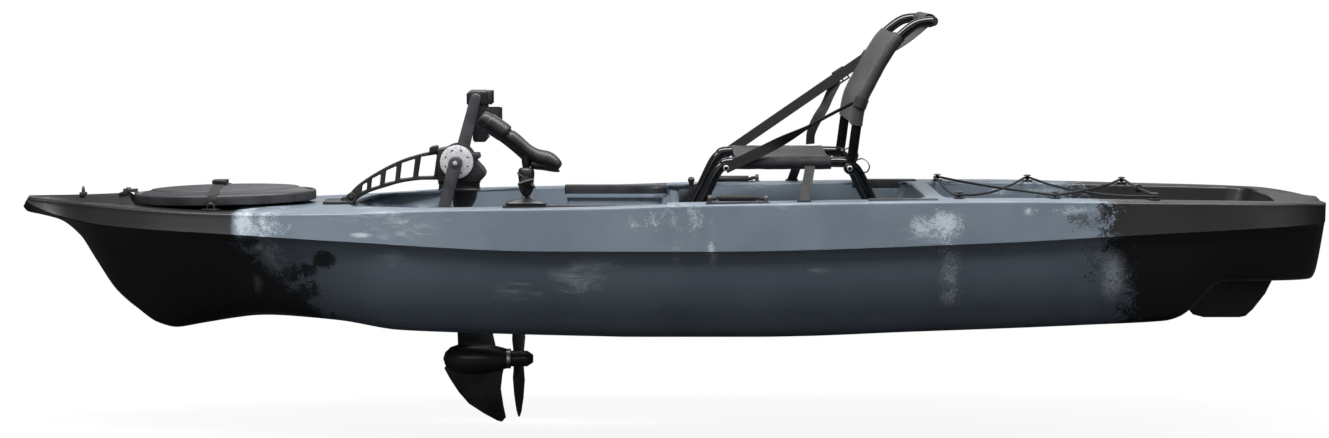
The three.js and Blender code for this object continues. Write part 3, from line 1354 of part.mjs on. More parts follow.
function seatPan() {
  const { half, tube: radius, railZ, panFront, panRear, panSleeve, panThick } = SEAT;
  const sleeve = (side, size) => bar(
    at(panFront, side * half, railZ), at(panRear, side * half, railZ), size, seatTubeSides,
  );
  const slab = span(panFront, panRear, -half, half, railZ - panThick / 2, railZ + panThick / 2);
  const bores = [1, -1].map((side) => bar(
    at(panFront - OVERRUN, side * half, railZ), at(panRear + OVERRUN, side * half, railZ),
    radius + 2 * GAP, ringSides,
  ));
  return cut(joined(slab, sleeve(1, radius + panSleeve), sleeve(-1, radius + panSleeve)), ...bores);
}

const TOP_BAND = { half: 160, thick: 6, lowReach: 84, lowRise: 262 };

function seatBackPanel() {
  const { railRear, boltZ, backHalf, backTube, backSleeve, panelThick } = SEAT;
  const rows = BACK_ROUTE.slice(panelFirst, panelLast + 1);
  const front = rows.map(([reach, rise]) => [railRear + reach - panelThick / 2, boltZ + rise]);
  const rear = rows.map(([reach, rise]) => [railRear + reach + panelThick / 2, boltZ + rise]).reverse();
  const slab = sidePlate([...front, ...rear], 2 * backHalf, 0);
  const sleeves = [1, -1].map((side) => (
    tube(backPath(side).slice(panelFirst, panelLast + 1), backTube + backSleeve, seatTubeSides)
  ));
  const [barReach, barRise] = BACK_ROUTE[BACK_ROUTE.length - 1];
  const band = sidePlate([
    [railRear + TOP_BAND.lowReach - TOP_BAND.thick, boltZ + TOP_BAND.lowRise],
    [railRear + TOP_BAND.lowReach + TOP_BAND.thick, boltZ + TOP_BAND.lowRise - TOP_BAND.thick],
    [railRear + barReach + TOP_BAND.thick / 2, boltZ + barRise - backTube],
    [railRear + barReach - TOP_BAND.thick / 2, boltZ + barRise - backTube],
  ], 2 * TOP_BAND.half, 0);
  const wrap = bar(
    at(railRear + barReach, -TOP_BAND.half, boltZ + barRise),
    at(railRear + barReach, TOP_BAND.half, boltZ + barRise),
    backTube + backSleeve, seatTubeSides,
  );
  const frame = [1, -1].map((side) => tube(backPath(side), backTube + 2 * GAP, seatTubeSides));
  const topBar = bar(...topBarEnds(), backTube + 2 * GAP, seatTubeSides);
  return cut(joined(slab, ...sleeves, band, wrap), ...frame, topBar);
}

// Side straps from the front bolts to the back, near the outer face of the base frame
const SEAT_STRAP = { width: 25, thickness: 2.5, near: 246.8, eye: 18 };
const SEAT_STRAP_TOPS = { port: { reach: 30, rise: 157 }, starboard: { reach: 108, rise: 280 } };

function seatStrap(name, sign) {
  const { width, thickness, near, eye } = SEAT_STRAP;
  const { railFront, railRear, boltZ, bolt, backTube, backSleeve } = SEAT;
  const top = SEAT_STRAP_TOPS[name];
  const from = new THREE.Vector2(railFront, boltZ);
  const to = new THREE.Vector2(railRear + top.reach, boltZ + top.rise);
  const along = to.clone().sub(from).normalize();
  const across = new THREE.Vector2(-along.y, along.x).multiplyScalar(width / 2);
  const corner = (point, side) => [point.x + side * across.x, point.y + side * across.y];
  const y = sign * (near + thickness / 2);
  const band = sidePlate([corner(from, -1), corner(to, -1), corner(to, 1), corner(from, 1)], thickness, y);
  const tab = sidePlate(discPoints(railFront, boltZ, eye, holeSides), thickness, y);
  const hole = bar(at(railFront, 0, boltZ), at(railFront, sign * 2 * near, boltZ), bolt + GAP, pinSides);
  const trimmed = cut(
    joined(band, tab), hole, tube(backPath(sign), backTube + backSleeve + GAP, seatTubeSides),
  );
  const pieces = solidOf(trimmed).decompose();
  return geometryOf(pieces.sort((a, b) => b.volume() - a.volume())[0]);
}

// Ties from the seat rails to plates on the side decks
const TIE = {
  x: 336, footX: 318, width: 24, thickness: 2, footY: 379, plate: 30, plateHeight: 5, sink: 4, ring: 19,
};

function seatTie(sign) {
  const { x, footX, width, thickness, footY, plate, plateHeight, sink, ring } = TIE;
  const { half, railZ, tube: radius, panSleeve } = SEAT;
  const inner = radius + panSleeve + GAP;
  const loop = cut(
    bar(at(x - width / 2, half, railZ), at(x + width / 2, half, railZ), ring, drumSides),
    bar(at(x - width, half, railZ), at(x + width, half, railZ), inner + GAP, drumSides),
    span(x - width, x + width, half - 2 * ring, half + GAP, railZ - 2 * ring, railZ + 2 * ring),
  );
  const deck = deckHeight(footX, footY);
  const run = tube([
    at(x, half + (inner + ring) / 2, railZ), at(footX, footY, deck + plateHeight / 2),
  ], width / Math.SQRT2, bandCorners, thickness / width);
  const foot = span(
    footX - plate / 2, footX + plate / 2, footY - plate / 4, footY + plate / 4, deck - sink,
    deck + plateHeight,
  );
  const tie = cut(
    joined(loop, run),
    bar(at(x - width, half, railZ), at(x + width, half, railZ), inner + GAP, drumSides),
  );
  const whole = seated(joined(tie, foot));
  return sign > 0 ? whole : mirrored(whole);
}

addMesh('seat_base_frame', seatBaseFrame(), 'blackTube');
addMesh('seat_back_frame', seatBackFrame(), 'blackTube');
addMesh('seat_pan', seatPan(), 'seatFabric');
addMesh('seat_back_panel', seatBackPanel(), 'backFabric');
SIDES.forEach(({ name, sign }) => {
  addMesh(`seat_strap_${name}`, seatStrap(name, sign), 'webbing');
  addMesh(`seat_tie_${name}`, seatTie(sign), 'webbing');
});

// Rod holder on the port front rail: sliding base, double-socket arm, wing knob, holder
const ROD = {
  x: -339, front: -388, rear: -291, thick: 10, width: 40, neck: 6.5, ball: 13, lower: 353, upper: 403,
  armLow: 346, armHigh: 410, armRadius: 21, knobZ: 378, knob: 15, knobDepth: 22, wing: 7, pin: 4,
  tubeHalf: 20, wingReach: 19.5, stem: 8, outlineFront: -117, outlineLength: 202, outlineHeight: 135,
  collar: 23, collarLength: 47, collarX: -403, collarZ: 506, lean: 35.4, bore: 15,
  clearance: 0.9,
};
const rodRail = railPlace(RAILS[0]);
const rodY = -(rodRail.inner + rodRail.outer) / 2;

function ball(x, y, z, radius) {
  const sphere = new THREE.SphereGeometry(radius, ballSides, ballRows);
  sphere.translate(x, y, z);
  return sphere;
}

function rodBase() {
  const low = rodRail.top + GAP;
  return joined(
    span(ROD.front, ROD.rear, rodY - ROD.width / 2, rodY + ROD.width / 2, low, low + ROD.thick),
    upright(ROD.neck, ROD.x, rodY, low, ROD.lower, pinSides),
    ball(ROD.x, rodY, ROD.lower, ROD.ball),
  );
}

function rodArm() {
  const body = upright(ROD.armRadius, ROD.x, rodY, ROD.armLow, ROD.armHigh, drumSides);
  const pinEnd = rodY - ROD.armRadius - ROD.knobDepth / 2;
  const pin = bar(at(ROD.x, pinEnd, ROD.knobZ), at(ROD.x, rodY, ROD.knobZ), ROD.pin, smallSides);
  const sockets = [ROD.lower, ROD.upper].map((z) => ball(ROD.x, rodY, z, ROD.ball + ROD.clearance));
  return cut(joined(body, pin), ...sockets);
}

function rodKnob() {
  const near = rodY - ROD.armRadius - GAP;
  const far = near - ROD.knobDepth;
  const hub = bar(
    at(ROD.x, near, ROD.knobZ), at(ROD.x, far, ROD.knobZ), ROD.knob / 2 + ROD.wing / 4, ballSides,
  );
  const wings = span(
    ROD.x - ROD.wingReach, ROD.x + ROD.wingReach, far, near - ROD.wing,
    ROD.knobZ - ROD.wing / 2, ROD.knobZ + ROD.wing / 2,
  );
  const boreEnd = rodY - ROD.armRadius - ROD.knobDepth / 2 - GAP;
  const bore = bar(at(ROD.x, rodY, ROD.knobZ), at(ROD.x, boreEnd, ROD.knobZ), ROD.pin + GAP, smallSides);
  return cut(joined(hub, wings), bore);
}

// The holder in side view, as places from the upper ball
const holderOutlineShares = [
  [0, 0.7556], [0.0396, 1], [0.1931, 1], [0.2327, 0.9481], [0.4158, 0.7926], [0.6436, 0.4296],
  [0.8267, 0.4296], [0.9653, 0.2741], [1, 0.0593], [0.9604, 0], [0.7673, 0.1556], [0.7129, 0.0889],
  [0.5248, 0.1259], [0.4851, 0.2296], [0.3515, 0.4074], [0.1287, 0.6222],
];

function rodHolder() {
  const start = ROD.x + ROD.outlineFront;
  const outline = holderOutlineShares.map(([x, z]) => (
    [start + x * ROD.outlineLength, ROD.upper + z * ROD.outlineHeight]
  ));
  const lean = THREE.MathUtils.degToRad(ROD.lean);
  const along = (reach) => at(
    ROD.collarX + reach * Math.cos(lean), rodY, ROD.collarZ - reach * Math.sin(lean),
  );
  const collar = bar(along(-ROD.collarLength / 2), along(ROD.collarLength / 2), ROD.collar, ringSides);
  const bore = bar(along(-2 * ROD.collarLength), along(4 * ROD.collarLength), ROD.bore, drumSides);
  const stem = upright(ROD.neck, ROD.x, rodY, ROD.upper, ROD.upper + ROD.ball + ROD.stem, pinSides);
  const body = cut(joined(sidePlate(outline, 2 * ROD.tubeHalf, rodY), collar), bore);
  return joined(body, stem, ball(ROD.x, rodY, ROD.upper, ROD.ball));
}

addMesh('rod_mount_base', rodBase(), 'blackPlastic');
addMesh('rod_mount_arm', rodArm(), 'blackPlastic');
addMesh('rod_mount_knob', rodKnob(), 'blackPlastic');
addMesh('rod_holder', rodHolder(), 'blackPlastic');

export default part;
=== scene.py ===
# %% [markdown]
# # A pedal kayak, dressed for the studio
# The engineering model of this boat already fixes every size and every hinge.
# This lesson builds the looks around it, piece by piece, in metres and in the model's own frame:
# X runs aft, Y to starboard and Z up, with the origin on the centre plane at mid length.
# The fitted parts are loaded first.

# %% Load the fixed frame
import json
import math
from contextlib import contextmanager

import bpy
from mathutils import Matrix, Vector, noise
from mathutils.bvhtree import BVHTree

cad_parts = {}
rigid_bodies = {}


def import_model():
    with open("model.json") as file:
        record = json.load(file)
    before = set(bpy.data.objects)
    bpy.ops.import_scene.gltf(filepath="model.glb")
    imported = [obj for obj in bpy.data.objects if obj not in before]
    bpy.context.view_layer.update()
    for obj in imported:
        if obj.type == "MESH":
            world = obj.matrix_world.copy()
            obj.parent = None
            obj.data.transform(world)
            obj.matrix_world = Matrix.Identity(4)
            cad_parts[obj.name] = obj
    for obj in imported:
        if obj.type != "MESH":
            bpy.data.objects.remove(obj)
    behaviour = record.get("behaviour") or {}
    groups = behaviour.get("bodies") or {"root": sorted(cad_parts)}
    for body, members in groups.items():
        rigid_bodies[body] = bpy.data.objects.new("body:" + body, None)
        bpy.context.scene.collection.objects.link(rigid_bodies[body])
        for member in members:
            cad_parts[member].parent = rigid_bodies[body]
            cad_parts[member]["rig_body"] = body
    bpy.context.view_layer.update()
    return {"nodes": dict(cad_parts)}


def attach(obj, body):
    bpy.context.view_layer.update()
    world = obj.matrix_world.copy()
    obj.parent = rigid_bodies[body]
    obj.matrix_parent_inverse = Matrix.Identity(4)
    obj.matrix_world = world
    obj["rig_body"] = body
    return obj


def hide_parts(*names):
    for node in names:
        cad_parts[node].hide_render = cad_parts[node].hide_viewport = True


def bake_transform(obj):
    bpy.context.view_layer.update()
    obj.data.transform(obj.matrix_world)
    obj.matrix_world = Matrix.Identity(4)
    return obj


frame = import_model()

MM = 0.001
SIDES = (("port", -1), ("starboard", 1))

# %% [markdown]
# ## The camera
# The boat was photographed from its port side, from a little above the deck and a long way off.
# A camera placed at the spot the perspective gives needs no shift, and keeps depth of field off.

# %% Place the camera
CAMERA_PLACE = (-0.0116, -8.2, 0.902)
CAMERA_PITCH = math.radians(4.47)
CAMERA_LENS = 89.9
SENSOR_WIDTH = 36

bpy.ops.object.camera_add(location=CAMERA_PLACE, rotation=(math.pi / 2 - CAMERA_PITCH, 0, 0))
camera = bpy.context.object
camera.data.lens = CAMERA_LENS
camera.data.sensor_width = SENSOR_WIDTH
camera.data.sensor_fit = "HORIZONTAL"
camera.data.clip_end = 100
bpy.context.scene.camera = camera

# %% [markdown]
# ## Small helpers
# Operators act on whatever is selected, so each step first clears the selection and picks its own object.
# Colours are written as sRGB hex values, the way a colour picker shows them, and one function turns
# them to the linear values that shaders work with.

# %% Selection, modifiers and colour helpers
def pick(*objects):
    bpy.ops.object.select_all(action="DESELECT")
    for one in objects:
        one.select_set(True)
    bpy.context.view_layer.objects.active = objects[-1]
    return objects[-1]


def modify(piece, kind, **settings):
    pick(piece)
    modifier = piece.modifiers.new(kind.title(), kind)
    for key, value in settings.items():
        setattr(modifier, key, value)
    bpy.ops.object.modifier_apply(modifier=modifier.name)
    return piece


def settle(piece):
    pick(piece)
    bpy.ops.object.transform_apply(location=True, rotation=True, scale=True)
    return piece


@contextmanager
def edit_mode(piece):
    pick(piece)
    bpy.ops.object.mode_set(mode="EDIT")
    bpy.ops.mesh.select_all(action="SELECT")
    yield
    bpy.ops.object.mode_set(mode="OBJECT")


def colour(code):
    parts = [int(code[k:k + 2], 16) / 255 for k in (1, 3, 5)]
    linear = [c / 12.92 if c <= 0.04045 else ((c + 0.055) / 1.055) ** 2.4 for c in parts]
    return (*linear, 1)


def add(tree, kind, settings=None, **links):
    node = tree.nodes.new("ShaderNode" + kind)
    for key, value in (settings or {}).items():
        setattr(node, key, value)
    for key, value in links.items():
        number = key.lstrip("_")
        socket = node.inputs[int(number) if number.isdigit() else key.replace("_", " ")]
        if isinstance(value, bpy.types.NodeSocket):
            tree.links.new(value, socket)
        else:
            socket.default_value = value
    return node


# %% [markdown]
# ## Studio
# The photograph is a cut-out on white, lit by a large soft source over the deck.
# The floor lies under the fin, and its white comes from its own colour to the camera, so no extra
# light falls on the boat. The light from the floor and the horizon is kept low, because the lower
# sides of the hull are much darker than the band that faces up.

# %% Floor, world and lamps
FLOOR_Z, FLOOR_SIZE = -0.262, 60
SHADOW_REACH, SHADOW_START, SHADOW_SHARE = (2.6, 1.5), 0.25, 0.09
HORIZON, ZENITH, HORIZON_LIGHT, ZENITH_LIGHT = 0.15, 0.9, 0.04, 0.5
WHITE, FLOOR_TONE, SHADOW_TONE, SKY_TONE = "#ffffff", "#3c3d3f", "#f4f4f4", "#f4f7fb"
LAMPS = [("overhead_softbox", (0, -1.1, 3.2), (0, -0.3, 0.2), (6.0, 1.1), 330),
         ("front_softbox", (-1.2, -6.5, 1.9), (0, 0, 0.2), (4.5, 1.4), 34),
         ("rear_softbox", (0.6, 4.2, 3.0), (0, 0, 0.3), (5.0, 1.6), 70)]

bpy.context.scene.view_settings.view_transform = "Standard"


def empty_tree(owner):
    owner.use_nodes = True
    owner.node_tree.nodes.clear()
    return owner.node_tree


def seen_directly(tree):
    path = add(tree, "LightPath")
    return add(tree, "Math", {"operation": "MAXIMUM"}, _0=path.outputs["Is Camera Ray"],
               _1=path.outputs["Is Transmission Ray"]).outputs[0]


bpy.ops.mesh.primitive_plane_add(size=FLOOR_SIZE, location=(0, 0, FLOOR_Z))
floor = settle(bpy.context.object)
floor.name = "studio_floor"
paper = bpy.data.materials.new("seamless_paper")
tree = empty_tree(paper)
spot = add(tree, "VectorMath", {"operation": "MULTIPLY"}, _0=add(tree, "TexCoord").outputs["Object"],
           _1=(1 / SHADOW_REACH[0], 1 / SHADOW_REACH[1], 0)).outputs[0]
reach = add(tree, "VectorMath", {"operation": "LENGTH"}, _0=spot).outputs["Value"]
amount = add(tree, "MapRange", {"interpolation_type": "SMOOTHSTEP"}, _0=reach, _1=SHADOW_START, _2=1,
             _3=SHADOW_SHARE, _4=0).outputs[0]
glow = add(tree, "Emission", Color=colour(WHITE), Strength=1.0).outputs[0]
shade = add(tree, "BsdfDiffuse", Color=colour(SHADOW_TONE)).outputs[0]
lit = add(tree, "BsdfDiffuse", Color=colour(FLOOR_TONE)).outputs[0]
kept = add(tree, "MixShader", _0=amount, _1=glow, _2=shade).outputs[0]
white = add(tree, "MixShader", _0=seen_directly(tree), _1=lit, _2=kept).outputs[0]
add(tree, "OutputMaterial", Surface=white)
floor.data.materials.append(paper)

bpy.context.scene.world = bpy.data.worlds.new("studio")
tree = empty_tree(bpy.context.scene.world)
rise = add(tree, "SeparateXYZ", _0=add(tree, "TexCoord").outputs["Generated"]).outputs["Z"]
glow = add(tree, "MapRange", _0=rise, _1=HORIZON, _2=ZENITH, _3=HORIZON_LIGHT, _4=ZENITH_LIGHT).outputs[0]
around = add(tree, "Background", Color=colour(SKY_TONE), Strength=glow).outputs[0]
white = add(tree, "Background", Color=colour(WHITE), Strength=1.0).outputs[0]
mixed = add(tree, "MixShader", _0=seen_directly(tree), _1=around, _2=white).outputs[0]
add(tree, "OutputWorld", Surface=mixed)

for name, place, aim, size, power in LAMPS:
    bpy.ops.object.light_add(type="AREA", location=place)
    lamp = bpy.context.object
    lamp.name = name
    lamp.data.shape = "RECTANGLE"
    lamp.data.size, lamp.data.size_y = size
    lamp.data.energy = power
    lamp.rotation_euler = (Vector(aim) - Vector(place)).to_track_quat("-Z", "Y").to_euler()

# %% [markdown]
# ## Hull lines
# A rotomoulded hull is one hollow skin of polyethylene. Its shape is drawn as naval drawings do it,
# with a few lines that run the length of the boat: half beam, sheer, crown of the deck, knuckle, keel
# and bilge, each a table of shares. A smooth curve that never overshoots joins the points of a table.

# %% Curves through tables
LENGTH, BEAM, DEPTH = 3.2, 0.84, 0.335
HALF_LENGTH, HALF_BEAM = LENGTH / 2, BEAM / 2


def curve_of(table):
    xs, ys = zip(*table)
    slopes = [(ys[k + 1] - ys[k]) / (xs[k + 1] - xs[k]) for k in range(len(xs) - 1)]
    tangents = [slopes[0]]
    for before, after in zip(slopes, slopes[1:]):
        tangents.append(2 * before * after / (before + after) if before * after > 0 else 0)
    tangents.append(slopes[-1])

    def value(x):
        x = min(max(x, xs[0]), xs[-1])
        k = next(k for k in range(len(slopes)) if x <= xs[k + 1])
        width = xs[k + 1] - xs[k]
        t = (x - xs[k]) / width
        ease = t * t * (3 - 2 * t)
        bend = t * (1 - t) * width * ((1 - t) * tangents[k] - t * tangents[k + 1])
        return ys[k] + ease * (ys[k + 1] - ys[k]) + bend

    return value


def mix(first, second, share):
    return first + (second - first) * share


BEAM_AT = curve_of([
    (-1, 0.03), (-0.99, 0.075), (-0.97, 0.12), (-0.931, 0.19), (-0.875, 0.335), (-0.78, 0.512),
    (-0.6625, 0.655), (-0.5, 0.82), (-0.3375, 0.93), (-0.18, 0.988), (0, 1), (0.094, 1), (0.31, 0.988),
    (0.494, 0.964), (0.656, 0.917), (0.8125, 0.85), (0.906, 0.79), (0.95, 0.735), (0.975, 0.66),
    (0.99, 0.55), (1, 0.38)])
SHEER_AT = curve_of([
    (-1, 0.945), (-0.9, 0.915), (-0.6625, 0.881), (-0.5, 0.8985), (-0.3375, 0.934), (-0.103, 0.955),
    (0.047, 0.976), (0.5, 1), (0.725, 0.982), (0.9375, 0.961), (1, 0.93)])
CROWN_AT = curve_of([
    (-1, 0.01), (-0.9, 0.048), (-0.8, 0.078), (-0.66, 0.062), (-0.53, 0.006), (-0.45, 0), (0.9, 0),
    (1, 0.02)])
KNUCKLE_AT = curve_of([
    (-1, 0.915), (-0.973, 0.87), (-0.931, 0.815), (-0.85, 0.766), (-0.656, 0.731), (-0.4875, 0.6985),
    (-0.18, 0.645), (0.047, 0.645), (0.494, 0.7045), (0.656, 0.743), (0.9625, 0.809), (1, 0.82)])
KEEL_AT = curve_of([
    (-1, 0.872), (-0.994, 0.838), (-0.973, 0.815), (-0.9425, 0.775), (-0.912, 0.66), (-0.889, 0.487),
    (-0.857, 0.254), (-0.824, 0.113), (-0.792, 0.006), (-0.7625, -0.036), (-0.727, -0.018), (-0.66, 0.015),
    (-0.586, 0.045), (-0.4, 0.06), (0.744, 0.15), (0.766, 0.16), (0.835, 0.388), (0.984, 0.388), (1, 0.42)])
BILGE_AT = curve_of([
    (-0.8, 0.13), (-0.575, 0.0896), (-0.5, 0.081), (-0.406, 0.039), (-0.25, 0.019), (-0.103, 0.004),
    (-0.06, 0), (0.13, 0), (0.206, 0.006), (0.35, 0.033), (0.5, 0.057), (0.625, 0.079), (0.744, 0.104),
    (0.766, 0.134), (0.835, 0.388), (0.984, 0.388), (1, 0.42)])
FULLNESS_AT = curve_of([
    (-0.8, 0), (-0.727, 0.12), (-0.66, 0.3), (-0.586, 0.62), (-0.5, 0.86), (-0.4, 1), (1, 1)])
FINE_SIDE = [(1, 1), (0.87, 0.9), (0.71, 0.75), (0.57, 0.6), (0.44, 0.45), (0.32, 0.31), (0.21, 0.18),
             (0.12, 0.08), (0.05, 0.02), (0, 0)]
FULL_SIDE = [(1, 1), (0.978, 0.93), (0.955, 0.62), (0.915, 0.32), (0.86, 0.13), (0.77, 0.03), (0.64, 0),
             (0.42, 0), (0.2, 0.06), (0, 0.08)]

# %% [markdown]
# ## The skin of the hull
# A grid is the plainest start for a long skin: one row of it becomes one section of the boat.
# Every row is bent onto the section lines, from the middle of the deck over the rounded gunwale, down
# the flat band to the knuckle, and round the bilge to the keel. The other half is mirrored, and the
# two ends are closed.

# %% Bend a grid onto the hull lines
GUNWALE_LEAN, GUNWALE_ROUND, SIDE_DECK = 0.018, 0.009, 0.1
TRANSOM_RAKE, RAKE_START, BOW_RAKE, BOW_RAKE_START = 0.026, 0.92, 0.014, -0.955
CROWN_POWER, KNUCKLE_STEP = 1.6, 0.0022
DECK_ROWS, SIDE_DECK_ROWS, ROUND_ROWS, BAND_ROWS, BILGE_ROWS = 10, 5, 5, 5, 34
HULL_SPANS = ((-1, -0.9, 40), (-0.9, -0.72, 34), (-0.72, 0.72, 90), (0.72, 0.86, 20), (0.86, 0.97, 12),
              (0.97, 1, 14))
MIRROR_REACH, WELD_REACH = 0.0002, 0.00005


def lines(share):
    tables = {"sheer": SHEER_AT, "crown": CROWN_AT, "knuckle": KNUCKLE_AT, "keel": KEEL_AT, "bilge": BILGE_AT}
    line = {name: at(share) * DEPTH for name, at in tables.items()}
    line["beam"] = BEAM_AT(share) * HALF_BEAM
    return line


def side_point(line, full, run):
    place = run * (len(FINE_SIDE) - 1)
    k = min(int(place), len(FINE_SIDE) - 2)
    t = place - k

    def spline(rows, axis):
        at = [rows[min(max(k + step, 0), len(rows) - 1)][axis] for step in (-1, 0, 1, 2)]
        slope_in, slope_out = (at[2] - at[0]) / 2, (at[3] - at[1]) / 2
        if k == 0:
            slope_in = at[2] - at[1]
        return ((2 * t ** 3 - 3 * t ** 2 + 1) * at[1] + (t ** 3 - 2 * t ** 2 + t) * slope_in
                + (3 * t ** 2 - 2 * t ** 3) * at[2] + (t ** 3 - t ** 2) * slope_out)

    fine_z = mix(line["keel"], line["knuckle"], spline(FINE_SIDE, 1))
    full_z = mix(line["bilge"], line["knuckle"], spline(FULL_SIDE, 1))
    wide = mix(spline(FINE_SIDE, 0), spline(FULL_SIDE, 0), full)
    return line["beam"] * max(0, wide), mix(fine_z, full_z, full)


def half_section(share):
    line = lines(share)
    beam, sheer, knuckle = line["beam"], line["sheer"], line["knuckle"]
    lean = min(GUNWALE_LEAN, beam * 0.3)
    edge = min(GUNWALE_ROUND, lean)
    deck = beam - lean - min(SIDE_DECK, beam * 0.5)
    points = []
    for row in range(DECK_ROWS):
        t = row / DECK_ROWS
        points.append((deck * t, sheer + line["crown"] * (1 - t ** CROWN_POWER)))
    flat_end = beam - lean - edge
    for row in range(SIDE_DECK_ROWS):
        points.append((mix(deck, flat_end, row / SIDE_DECK_ROWS), sheer))
    for row in range(ROUND_ROWS):
        turn = row / ROUND_ROWS * math.pi / 2
        points.append((flat_end + edge * math.sin(turn), sheer - edge * (1 - math.cos(turn))))
    for row in range(BAND_ROWS):
        t = row / BAND_ROWS
        points.append((mix(beam - lean, beam, t), mix(sheer - edge, knuckle, t)))
    points.append((beam, knuckle + KNUCKLE_STEP * 0.3))
    full = FULLNESS_AT(share)
    step = min(KNUCKLE_STEP, beam * 0.05)
    for row in range(BILGE_ROWS + 1):
        run = row / BILGE_ROWS
        y, z = side_point(line, full, run)
        tuck = step * max(0, 1 - run * 3)
        points.append((max(0, y - tuck), z - step * (1 - run)))
    points[-1] = (0, points[-1][1])
    return points


def placed(share, y, z):
    line = lines(share)
    x = share * HALF_LENGTH
    down = min(1, max(0, (line["sheer"] - z) / (line["sheer"] - line["keel"])))
    aft = max(0, (share - RAKE_START) / (1 - RAKE_START))
    fore = max(0, (BOW_RAKE_START - share) / (1 + BOW_RAKE_START))
    return Vector((x - aft * TRANSOM_RAKE * down + fore * BOW_RAKE * (1 - down), y, z))


shares = [mix(low, high, k / count) for low, high, count in HULL_SPANS for k in range(count)] + [1]
rows = [half_section(share) for share in shares]
across = len(rows[0])
bpy.ops.object.select_all(action="DESELECT")
bpy.ops.mesh.primitive_grid_add(x_subdivisions=across - 1, y_subdivisions=len(rows) - 1, size=1)
hull = bpy.context.object
hull.name = "hull_skin"
for vertex in hull.data.vertices:
    row = round((vertex.co.y + 0.5) * (len(rows) - 1))
    column = round((vertex.co.x + 0.5) * (across - 1))
    vertex.co = placed(shares[row], *rows[row][column])
modify(hull, "MIRROR", use_axis=(False, True, False), merge_threshold=MIRROR_REACH)
with edit_mode(hull):
    bpy.ops.mesh.remove_doubles(threshold=WELD_REACH)
    bpy.ops.mesh.select_all(action="DESELECT")
    bpy.ops.mesh.select_non_manifold()
    bpy.ops.mesh.edge_face_add()
    bpy.ops.mesh.select_all(action="SELECT")
    bpy.ops.mesh.normals_make_consistent(inside=False)
print("hull skin", len(hull.data.polygons), "faces")

# %% [markdown]
# ## Cockpit, seat shelf and tank well
# On the real mould each well has a rounded floor edge, walls with some draft and a lip that rolls over
# into the deck. A cutter with all three is a stack of rounded rectangles, bridged one to the next,
# whose top rows follow the height of the deck. A Boolean modifier then takes the cutter out of the hull.

# %% Cutters for the wells
WELLS = {
    "cockpit": dict(floor=100, low=(-645, 20, 282, 60), high=(-796, 50, 322, 90), taper=0),
    "seat_shelf": dict(floor=240, low=(0, 590, 300, 50), high=(-30, 622, 322, 60), taper=0),
    "tank_well": dict(floor=200, low=(690, 1440, 285, 50), high=(655, 1485, 305, 60), taper=50),
}
WELL_TOP, LIP_LEVEL, FLOOR_ROUND, LIP_ROUND, LIP_CLEAR, LIP_SINK = 350, 325, 22, 7, 40, 0.3
CORNER_STEPS, ROUND_STEPS, PLAN_STEP = 8, 5, 60


def deck_height(x, y):
    points = half_section(x / HALF_LENGTH)
    for (y0, z0), (y1, z1) in zip(points, points[1:DECK_ROWS + SIDE_DECK_ROWS + 1]):
        if y0 <= abs(y) <= y1:
            return mix(z0, z1, (abs(y) - y0) / max(y1 - y0, 1e-6))
    return lines(x / HALF_LENGTH)["sheer"]


def plan(front, rear, half_front, half_rear, turn):
    corners = ((rear - turn, half_rear - turn, 0), (front + turn, half_front - turn, 1),
               (front + turn, turn - half_front, 2), (rear - turn, turn - half_rear, 3))
    ring = []
    for x, y, quarter in corners:
        for step in range(CORNER_STEPS + 1):
            angle = (quarter + step / CORNER_STEPS) * math.pi / 2
            ring.append((x + turn * math.cos(angle), y + turn * math.sin(angle)))
    dense = []
    for (x0, y0), (x1, y1) in zip(ring, ring[1:] + ring[:1]):
        count = max(1, round(math.hypot(x1 - x0, y1 - y0) / PLAN_STEP))
        dense += [(mix(x0, x1, k / count), mix(y0, y1, k / count)) for k in range(count)]
    return dense


def new_piece(name, data):
    piece = bpy.data.objects.new(name, data)
    bpy.context.collection.objects.link(piece)
    return pick(piece)


def stack(name, rings):
    points = [Vector(point) * MM for ring in rings for point in ring]
    count = len(rings[0])
    last = (len(rings) - 1) * count
    faces = [(low + k, low + (k + 1) % count, low + count + (k + 1) % count, low + count + k)
             for low in range(0, last, count) for k in range(count)]
    faces.append(tuple(reversed(range(count))))
    faces.append(tuple(range(last, last + count)))
    mesh = bpy.data.meshes.new(name)
    mesh.from_pydata(points, [], faces)
    piece = new_piece(name, mesh)
    with edit_mode(piece):
        bpy.ops.mesh.normals_make_consistent(inside=False)
    return piece


def well_ring(well, z, grow):
    run = (z - well["floor"]) / (WELL_TOP - well["floor"])
    front, rear, half, turn = (mix(low, high, run) for low, high in zip(well["low"], well["high"]))
    return plan(front - grow, rear + grow, half + grow, half - well["taper"] + grow, turn + grow)


def well_cutter(name, well):
    rings = []
    for step in range(ROUND_STEPS + 1):
        turn = step / ROUND_STEPS * math.pi / 2
        z = well["floor"] + FLOOR_ROUND * (1 - math.cos(turn))
        rings.append([(x, y, z) for x, y in well_ring(well, z, -FLOOR_ROUND * (1 - math.sin(turn)))])
    for step in range(ROUND_STEPS + 1):
        turn = step / ROUND_STEPS * math.pi / 2
        drop = LIP_SINK + LIP_ROUND * (1 - math.sin(turn))
        ring = well_ring(well, LIP_LEVEL, LIP_ROUND * (1 - math.cos(turn)))
        rings.append([(x, y, deck_height(x * MM, y * MM) / MM - drop) for x, y in ring])
    rings.append([(x, y, z + LIP_CLEAR) for x, y, z in rings[-1]])
    return stack(name, rings)


def carve(piece, *cutters, operation="DIFFERENCE"):
    for cutter in cutters:
        modify(piece, "BOOLEAN", operation=operation, object=cutter, solver="MANIFOLD")
        bpy.data.objects.remove(cutter)
    return piece


carve(hull, *(well_cutter(name, well) for name, well in WELLS.items()))
print("wells cut", len(hull.data.polygons), "faces")

